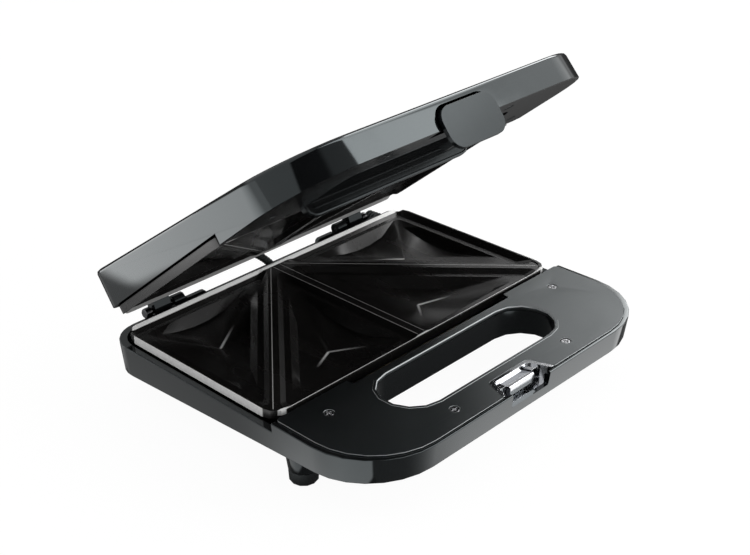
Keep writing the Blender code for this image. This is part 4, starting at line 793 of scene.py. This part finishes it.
def evenly_spaced(points, count):
    """As many points as count, at even distances along a line of points."""
    lengths = [0.0]
    for first, second in zip(points, points[1:]):
        lengths.append(lengths[-1] + (second - first).length)
    spaced, index = [], 0
    for step in range(count):
        along = lengths[-1] * step / (count - 1)
        while index < len(points) - 2 and lengths[index + 1] < along:
            index += 1
        part = (along - lengths[index]) / (lengths[index + 1] - lengths[index])
        spaced.append(points[index].lerp(points[index + 1], min(part, 1.0)))
    return spaced


def new_object(name, mesh):
    """An object in the scene that takes over a bmesh."""
    data = bpy.data.meshes.new(name)
    mesh.to_mesh(data)
    mesh.free()
    made = bpy.data.objects.new(name, data)
    bpy.context.scene.collection.objects.link(made)
    return made


def ribbed_sleeve():
    """A corrugated sleeve along the route, with round ribs and narrow grooves between them."""
    sizes = finish()
    route = smooth_route([Vector(knot) for knot in sleeve_route], route_steps)
    points = evenly_spaced(route, sizes.sleeve_ribs * rings_per_rib + 1)
    mesh = bmesh.new()
    rings = []
    across = Vector((1, 0, 0))
    for index, point in enumerate(points):
        ahead = points[min(index + 1, len(points) - 1)] - points[max(index - 1, 0)]
        ahead.normalize()
        across = (across - ahead * across.dot(ahead)).normalized()
        over = ahead.cross(across)
        swell = math.sqrt(abs(math.sin(math.pi * index / rings_per_rib)))
        radius = sizes.sleeve_radius - sizes.sleeve_groove * (1 - swell)
        ring = []
        for side in range(sleeve_sides):
            turn = 2 * math.pi * side / sleeve_sides
            ring.append(mesh.verts.new(point + (across * math.cos(turn) + over * math.sin(turn)) * radius))
        rings.append(ring)
    for lower, upper in zip(rings, rings[1:]):
        for side in range(sleeve_sides):
            after = (side + 1) % sleeve_sides
            mesh.faces.new((lower[side], lower[after], upper[after], upper[side]))
    mesh.faces.new(rings[0][::-1])
    mesh.faces.new(rings[-1])
    bmesh.ops.recalc_face_normals(mesh, faces=mesh.faces)
    sleeve = new_object("ribbed_sleeve", mesh)
    sleeve.data.shade_smooth()
    return sleeve


# Studio
def compass_degrees(tree, x, y):
    """The direction of a place or an arrow seen from above, in degrees from +X towards +Y."""
    return maths(tree, "DEGREES", maths(tree, "ARCTAN2", y, x))


def mirrored_rays(tree, light_path):
    """1 for the rays that gloss and clear plastic send out."""
    return maths(tree, "MAXIMUM", light_path["Is Glossy Ray"], light_path["Is Transmission Ray"])


def floor_glow(tree, x, y):
    """How bright the floor looks to gloss: dim under and behind the object, brighter in front and left."""
    left_side = cad_box[0][0]
    front_blend, side_blend, under_back = 0.004, 0.003, (0.10, 0.12)
    card_across, card_back = (-1.10, -0.34, -0.205, -0.190), (0.185, 0.210)
    # Half a turn is taken off, so that the angle runs from the left side round to the front
    from_corner = (maths(tree, "SUBTRACT", corner, along) for corner, along in zip(glow_corner, (x, y)))
    angle = compass_degrees(tree, *from_corner)
    left = step_up(tree, angle, -60.0, -25.0, 0.50, 1.45)
    left = towards(tree, left, 2.1, step_up(tree, angle, -20.0, 15.0))
    under = band(tree, y, base_front - front_blend, base_front, *under_back)
    under = times(tree, under, step_up(tree, x, left_side - side_blend, left_side))
    card = times(tree, band(tree, x, *card_across), step_up(tree, y, *card_back))
    # Each patch of the floor has its brightness and its mask, and lies over those before it
    patches = (
        (left, step_up(tree, angle, -84.0, -78.0)),
        (0.22, step_up(tree, angle, 42.0, 44.5)),
        (1.75, step_up(tree, angle, 76.0, 146.0)),
        (0.12, under),
        (studio().sweep_radiance, card),
    )
    glow = 0.05
    for level, patch in patches:
        glow = towards(tree, glow, level, patch)
    return glow


def lay_floor():
    """A pale floor. The camera sees it almost white with a faint shadow, and gloss sees its glow."""
    mesh = bmesh.new()
    bmesh.ops.create_grid(mesh, x_segments=8, y_segments=8, size=studio().floor_size / 2)
    floor = new_object("studio_floor", mesh)
    material, tree, shader = new_material("Studio floor")
    place = object_place(tree)
    mottle = two_tones(tree, noise(tree, place, 6.0), colours().floor, 0.98, 1.02)
    feed(tree, shader, {"Base Color": mottle, "Roughness": 0.8, "Specular IOR Level": 0.0})
    split = add(tree, "SeparateXYZ", {0: place}).outputs
    light_path = add(tree, "LightPath").outputs
    glow = floor_glow(tree, split["X"], split["Y"])
    strength = towards(tree, glow, floor_white, light_path["Is Camera Ray"])
    white = add(tree, "Emission", {"Color": (1, 1, 1, 1), "Strength": strength})
    seen = times(tree, light_path["Is Camera Ray"], floor_white_share)
    share = maths(tree, "ADD", mirrored_rays(tree, light_path), seen, clamp=True)
    blend = add(tree, "MixShader", {0: share, 1: shader.outputs[0], 2: white.outputs[0]})
    feed(tree, tree.nodes["Material Output"], {"Surface": blend.outputs[0]})
    floor.data.materials.append(material)


def room_glow(tree, direction):
    """How bright the room looks to gloss: windows on the right, and a dark side where no wall is lit."""
    lights = studio()
    split = add(tree, "SeparateXYZ", {0: direction}).outputs
    compass = compass_degrees(tree, split["X"], split["Y"])
    height = maths(tree, "DEGREES", maths(tree, "ARCSINE", split["Z"]))
    right_back = step_up(tree, height, 6.0, 14.0, 0.15, 0.40)
    front_left = step_up(tree, compass, -112.0, -92.0, 0.02, 0.36)
    # Each patch of the room has the degrees of the compass and of height at which it begins, is full,
    # fades and ends, and its brightness. It lies over those before it.
    patches = (
        ((5, 20, 60, 80), (-91, -90, 90, 91), right_back),
        ((12, 16, 30, 34), (18, 24, 46, 52), lights.panel_radiance),
        ((0, 10, 110, 125), (-91, -90, 4, 11), 0.10),
        ((-163, -159, -46, -43), (18, 26, 90, 91), front_left),
        ((-43.5, -41.5, -8, 0), (8, 16, 90, 91), lights.window_low),
        ((-43.5, -41.5, -30.5, -28.5), (30.3, 31.3, 90, 91), lights.window_high),
        ((-27, -22, 14, 18), (41, 44, 90, 91), lights.strip_radiance),
    )
    glow = 0.9
    for around, up, level in patches:
        patch = times(tree, band(tree, compass, *around), band(tree, height, *up))
        glow = towards(tree, glow, level, patch)
    return glow


def camera_back_vector():
    """From what the camera looks at, towards the camera."""
    flat = math.cos(camera_elevation)
    x, y = math.sin(camera_azimuth) * flat, -math.cos(camera_azimuth) * flat
    return Vector((x, y, math.sin(camera_elevation)))


def fill_room():
    """A white room that is darker behind the camera, where a studio has no wall lit."""
    world = bpy.data.worlds.new("Studio room")
    bpy.context.scene.world = world
    world.use_nodes = True
    tree = world.node_tree
    direction = add(tree, "TexCoord").outputs["Generated"]
    facing = arrow_maths(tree, "DOT_PRODUCT", direction, camera_back_vector())
    dim_share = 0.06
    lamp = times(tree, step_up(tree, facing, 0.45, 0.95, 1.0, dim_share), studio().surround)
    light_path = add(tree, "LightPath").outputs
    level = towards(tree, lamp, room_glow(tree, direction), mirrored_rays(tree, light_path))
    strength = towards(tree, level, 1.0, light_path["Is Camera Ray"])
    feed(tree, tree.nodes["Background"], {"Color": (1, 1, 1, 1), "Strength": strength})


def hang_lamp(name, direction, width, height, radiance):
    """A soft rectangular lamp, aimed at the object. Gloss sees the room's glow in its stead."""
    data = bpy.data.lights.new(name, "AREA")
    data.shape = "RECTANGLE"
    data.size = width
    data.size_y = height
    data.energy = radiance * math.pi * width * height
    lamp = bpy.data.objects.new(name, data)
    bpy.context.scene.collection.objects.link(lamp)
    away = Vector(direction).normalized() * lamp_distance
    lamp.location = Vector(lamp_target) + away
    lamp.rotation_euler = (-away).to_track_quat("-Z", "Y").to_euler()
    lamp.visible_camera = False
    lamp.visible_glossy = False


def hang_lamps():
    lights = studio()
    window = (lights.window_width, lights.window_height, lights.window_radiance)
    hang_lamp("soft_window", window_direction, *window)
    front = (lights.front_width, lights.front_height, lights.front_radiance)
    hang_lamp("front_fill", front_direction, *front)


def place_camera():
    scene = bpy.context.scene
    data = bpy.data.cameras.new("photo_camera")
    data.lens = camera_lens
    data.sensor_width = camera_sensor
    data.sensor_fit = "HORIZONTAL"
    data.clip_start = 0.01
    camera = bpy.data.objects.new("photo_camera", data)
    scene.collection.objects.link(camera)
    back = camera_back_vector()
    right = (-back).cross(Vector((0, 0, 1))).normalized()
    up = right.cross(-back)
    turned_right = right * math.cos(camera_roll) + up * math.sin(camera_roll)
    turned_up = up * math.cos(camera_roll) - right * math.sin(camera_roll)
    axes = Matrix((turned_right, turned_up, back)).transposed().to_4x4()
    camera.matrix_world = Matrix.Translation(camera_place) @ axes
    scene.camera = camera


# Operators
class SANDWICHMAKER_OT_studio(bpy.types.Operator):
    """Lay the floor, light the room and place the camera"""

    bl_idname = "sandwich_maker.studio"
    bl_label = "Studio"
    bl_options = {"REGISTER", "UNDO"}

    def execute(self, context):
        lay_floor()
        fill_room()
        hang_lamps()
        place_camera()
        context.scene.view_settings.view_transform = "Standard"
        return {"FINISHED"}


class SANDWICHMAKER_OT_base_shell(bpy.types.Operator):
    """Give the base shell its glossy finish"""

    bl_idname = "sandwich_maker.base_shell"
    bl_label = "Base shell"
    bl_options = {"REGISTER", "UNDO"}

    def execute(self, context):
        gloss = moulding("Base shell gloss", colours().gloss_moulding, finish().gloss_roughness)
        dress(["base_shell"], gloss, finish().edge_rounding)
        return {"FINISHED"}


class SANDWICHMAKER_OT_handle_panel(bpy.types.Operator):
    """Give the handle's top panel its smooth finish and a painted highlight along its top edges"""

    bl_idname = "sandwich_maker.handle_panel"
    bl_label = "Handle panel"
    bl_options = {"REGISTER", "UNDO"}

    def execute(self, context):
        top = max(corner[2] for corner in cad_nodes["handle_panel"].bound_box)
        amounts = {"dust": 0.6, "wave": 0.3, "flat_top": top}
        smooth = moulding("Handle panel", colours().panel_moulding, finish().panel_roughness, **amounts)
        dress(["handle_panel"], smooth, finish().edge_rounding)
        return {"FINISHED"}


class SANDWICHMAKER_OT_cooking_plates(bpy.types.Operator):
    """Coat both cooking plates and bare their rims"""

    bl_idname = "sandwich_maker.cooking_plates"
    bl_label = "Cooking plates"
    bl_options = {"REGISTER", "UNDO"}

    def execute(self, context):
        edges = {"width": finish().plate_rounding, "crease": finish().plate_crease_angle, "segments": 3}
        lower = coated_plate("Lower plate", "lower_plate", turn=0.0, outwards=-1.0, bare_side=True)
        dress(["lower_plate"], lower, **edges)
        upper = coated_plate("Upper plate", "upper_plate", lid_open_angle, outwards=1.0, bare_side=False)
        dress(["upper_plate"], upper, **edges)
        return {"FINISHED"}


class SANDWICHMAKER_OT_catch(bpy.types.Operator):
    """Plate the catch"""

    bl_idname = "sandwich_maker.catch"
    bl_label = "Catch"
    bl_options = {"REGISTER", "UNDO"}

    def execute(self, context):
        metal = {"roughness": 0.10, "stretch": (30.0, 500.0, 500.0)}
        plating = bright_metal("Plated catch", colours().bright_plate, **metal)
        dress(["catch_insert"], plating, finish().fitting_rounding)
        return {"FINISHED"}


class SANDWICHMAKER_OT_rubber_parts(bpy.types.Operator):
    """Finish the feet, the gland and the stud in rubber"""

    bl_idname = "sandwich_maker.rubber_parts"
    bl_label = "Rubber parts"
    bl_options = {"REGISTER", "UNDO"}

    def execute(self, context):
        amounts = {"roughness": 0.62, "dust": 1.6, "smears": 0.12, "wave": 0.2, "grain": 0.5}
        rubber = moulding("Black rubber", colours().rubber, **amounts)
        feet = [f"{end}_foot_{side}" for end in ("front", "rear") for side in ("left", "right")]
        dress([*feet, "cord_gland", "top_stud"], rubber, finish().fitting_rounding)
        return {"FINISHED"}


class SANDWICHMAKER_OT_fasteners(bpy.types.Operator):
    """Plate the screws, pins and spring"""

    bl_idname = "sandwich_maker.fasteners"
    bl_label = "Screws and pins"
    bl_options = {"REGISTER", "UNDO"}

    def execute(self, context):
        zinc = bright_metal("Zinc plate", colours().zinc, roughness=0.16, stretch=(300.0, 300.0, 60.0))
        dress(sorted(name for name in cad_nodes if "screw" in name), zinc, finish().small_rounding)
        metal = {"roughness": 0.22, "stretch": (50.0, 900.0, 900.0), "strength": 0.12}
        blued = bright_metal("Blued steel", colours().blued_steel, **metal)
        dress(["hinge_pin_left", "hinge_pin_right", "latch_pin", "latch_spring"], blued)
        return {"FINISHED"}


class SANDWICHMAKER_OT_lid_cover(bpy.types.Operator):
    """Give the lid cover its glossy finish"""

    bl_idname = "sandwich_maker.lid_cover"
    bl_label = "Lid cover"
    bl_options = {"REGISTER", "UNDO"}

    def execute(self, context):
        gloss = moulding("Lid cover gloss", colours().gloss_moulding, finish().gloss_roughness)
        dress(["lid_cover"], gloss, finish().edge_rounding)
        return {"FINISHED"}


class SANDWICHMAKER_OT_lid_frame(bpy.types.Operator):
    """Give the lid's inner frame its satin finish"""

    bl_idname = "sandwich_maker.lid_frame"
    bl_label = "Lid frame"
    bl_options = {"REGISTER", "UNDO"}

    def execute(self, context):
        amounts = {"wave": 0.3, "grain": 0.0, "smears": 0.01}
        satin = moulding("Lid frame satin", colours().satin_moulding, finish().satin_roughness, **amounts)
        dress(["lid_frame"], satin, finish().frame_rounding, segments=3)
        return {"FINISHED"}


class SANDWICHMAKER_OT_latch(bpy.types.Operator):
    """Give the latch its dark grey finish"""

    bl_idname = "sandwich_maker.latch"
    bl_label = "Latch"
    bl_options = {"REGISTER", "UNDO"}

    def execute(self, context):
        grey = moulding("Latch", colours().latch_moulding, roughness=0.15, wave=0.3, grain=0.05, ior=1.4)
        dress(["latch"], grey, finish().edge_rounding)
        return {"FINISHED"}


class SANDWICHMAKER_OT_lamps(bpy.types.Operator):
    """Tint the lamp lenses and finish their bezel"""

    bl_idname = "sandwich_maker.lamps"
    bl_label = "Lamps"
    bl_options = {"REGISTER", "UNDO"}

    def execute(self, context):
        dress(["ready_lamp"], clear_lens("Green lens", colours().ready_lens))
        dress(["power_lamp"], clear_lens("Red lens", colours().power_lens))
        bezel = moulding("Lamp bezel", colours().satin_moulding, finish().satin_roughness, grain=0.3)
        dress(["lamp_bezel"], bezel, finish().small_rounding)
        return {"FINISHED"}


class SANDWICHMAKER_OT_heating_parts(bpy.types.Operator):
    """Finish the heating elements, thermostats, fuse and terminal block"""

    bl_idname = "sandwich_maker.heating_parts"
    bl_label = "Heating parts"
    bl_options = {"REGISTER", "UNDO"}

    def execute(self, context):
        sheath = heated_sheath("Element sheath", colours().element_sheath)
        dress(["lower_heating_element", "upper_heating_element"], sheath)
        ceramic = fired_ceramic("Ceramic", colours().ceramic, roughness=0.55)
        dress(["lower_thermostat", "upper_thermostat", "thermal_fuse"], ceramic, finish().small_rounding)
        block = fired_ceramic("Terminal block", colours().block_plastic, roughness=0.45)
        dress(["terminal_block"], block, finish().fitting_rounding)
        return {"FINISHED"}


class SANDWICHMAKER_OT_wire_sleeve(bpy.types.Operator):
    """Make the ribbed sleeve that carries the wires to the lid"""

    bl_idname = "sandwich_maker.wire_sleeve"
    bl_label = "Wire sleeve"
    bl_options = {"REGISTER", "UNDO"}

    def execute(self, context):
        sleeve = ribbed_sleeve()
        rubber = moulding("Sleeve", colours().rubber, roughness=0.42, wave=0.1, grain=0.2)
        sleeve.data.materials.append(rubber)
        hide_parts("wire_sleeve")
        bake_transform(sleeve)
        cad_nodes["wire_sleeve"].data.materials.clear()
        cad_nodes["wire_sleeve"].data.materials.append(rubber)
        return {"FINISHED"}


operators = (
    SANDWICHMAKER_OT_studio,
    SANDWICHMAKER_OT_base_shell,
    SANDWICHMAKER_OT_handle_panel,
    SANDWICHMAKER_OT_cooking_plates,
    SANDWICHMAKER_OT_catch,
    SANDWICHMAKER_OT_rubber_parts,
    SANDWICHMAKER_OT_fasteners,
    SANDWICHMAKER_OT_lid_cover,
    SANDWICHMAKER_OT_lid_frame,
    SANDWICHMAKER_OT_latch,
    SANDWICHMAKER_OT_lamps,
    SANDWICHMAKER_OT_heating_parts,
    SANDWICHMAKER_OT_wire_sleeve,
)


class SANDWICHMAKER_PT_panel(bpy.types.Panel):
    """Lists the pieces of the sandwich maker with their sizes and colours"""

    bl_idname = "SANDWICHMAKER_PT_panel"
    bl_label = "Sandwich maker"
    bl_space_type = "VIEW_3D"
    bl_region_type = "UI"
    bl_category = "Sandwich maker"

    def draw(self, context):
        layout = self.layout
        for operator in operators:
            layout.operator(operator.bl_idname)
        for settings in (finish(), colours(), studio()):
            box = layout.box()
            for key in type(settings).__annotations__:
                box.prop(settings, key)


classes = (SandwichMakerColours, SandwichMakerFinish, SandwichMakerStudio, *operators, SANDWICHMAKER_PT_panel)


def register():
    for item in classes:
        bpy.utils.register_class(item)
    bpy.types.Scene.sandwich_maker_colours = PointerProperty(type=SandwichMakerColours)
    bpy.types.Scene.sandwich_maker_finish = PointerProperty(type=SandwichMakerFinish)
    bpy.types.Scene.sandwich_maker_studio = PointerProperty(type=SandwichMakerStudio)


def unregister():
    del bpy.types.Scene.sandwich_maker_studio
    del bpy.types.Scene.sandwich_maker_finish
    del bpy.types.Scene.sandwich_maker_colours
    for item in reversed(classes):
        bpy.utils.unregister_class(item)


def main():
    register()
    bpy.ops.sandwich_maker.studio()
    bpy.ops.sandwich_maker.base_shell()
    bpy.ops.sandwich_maker.handle_panel()
    bpy.ops.sandwich_maker.cooking_plates()
    bpy.ops.sandwich_maker.catch()
    bpy.ops.sandwich_maker.rubber_parts()
    bpy.ops.sandwich_maker.fasteners()
    bpy.ops.sandwich_maker.lid_cover()
    bpy.ops.sandwich_maker.lid_frame()
    bpy.ops.sandwich_maker.latch()
    bpy.ops.sandwich_maker.lamps()
    bpy.ops.sandwich_maker.heating_parts()
    bpy.ops.sandwich_maker.wire_sleeve()


if __name__ == "__main__":
    main()
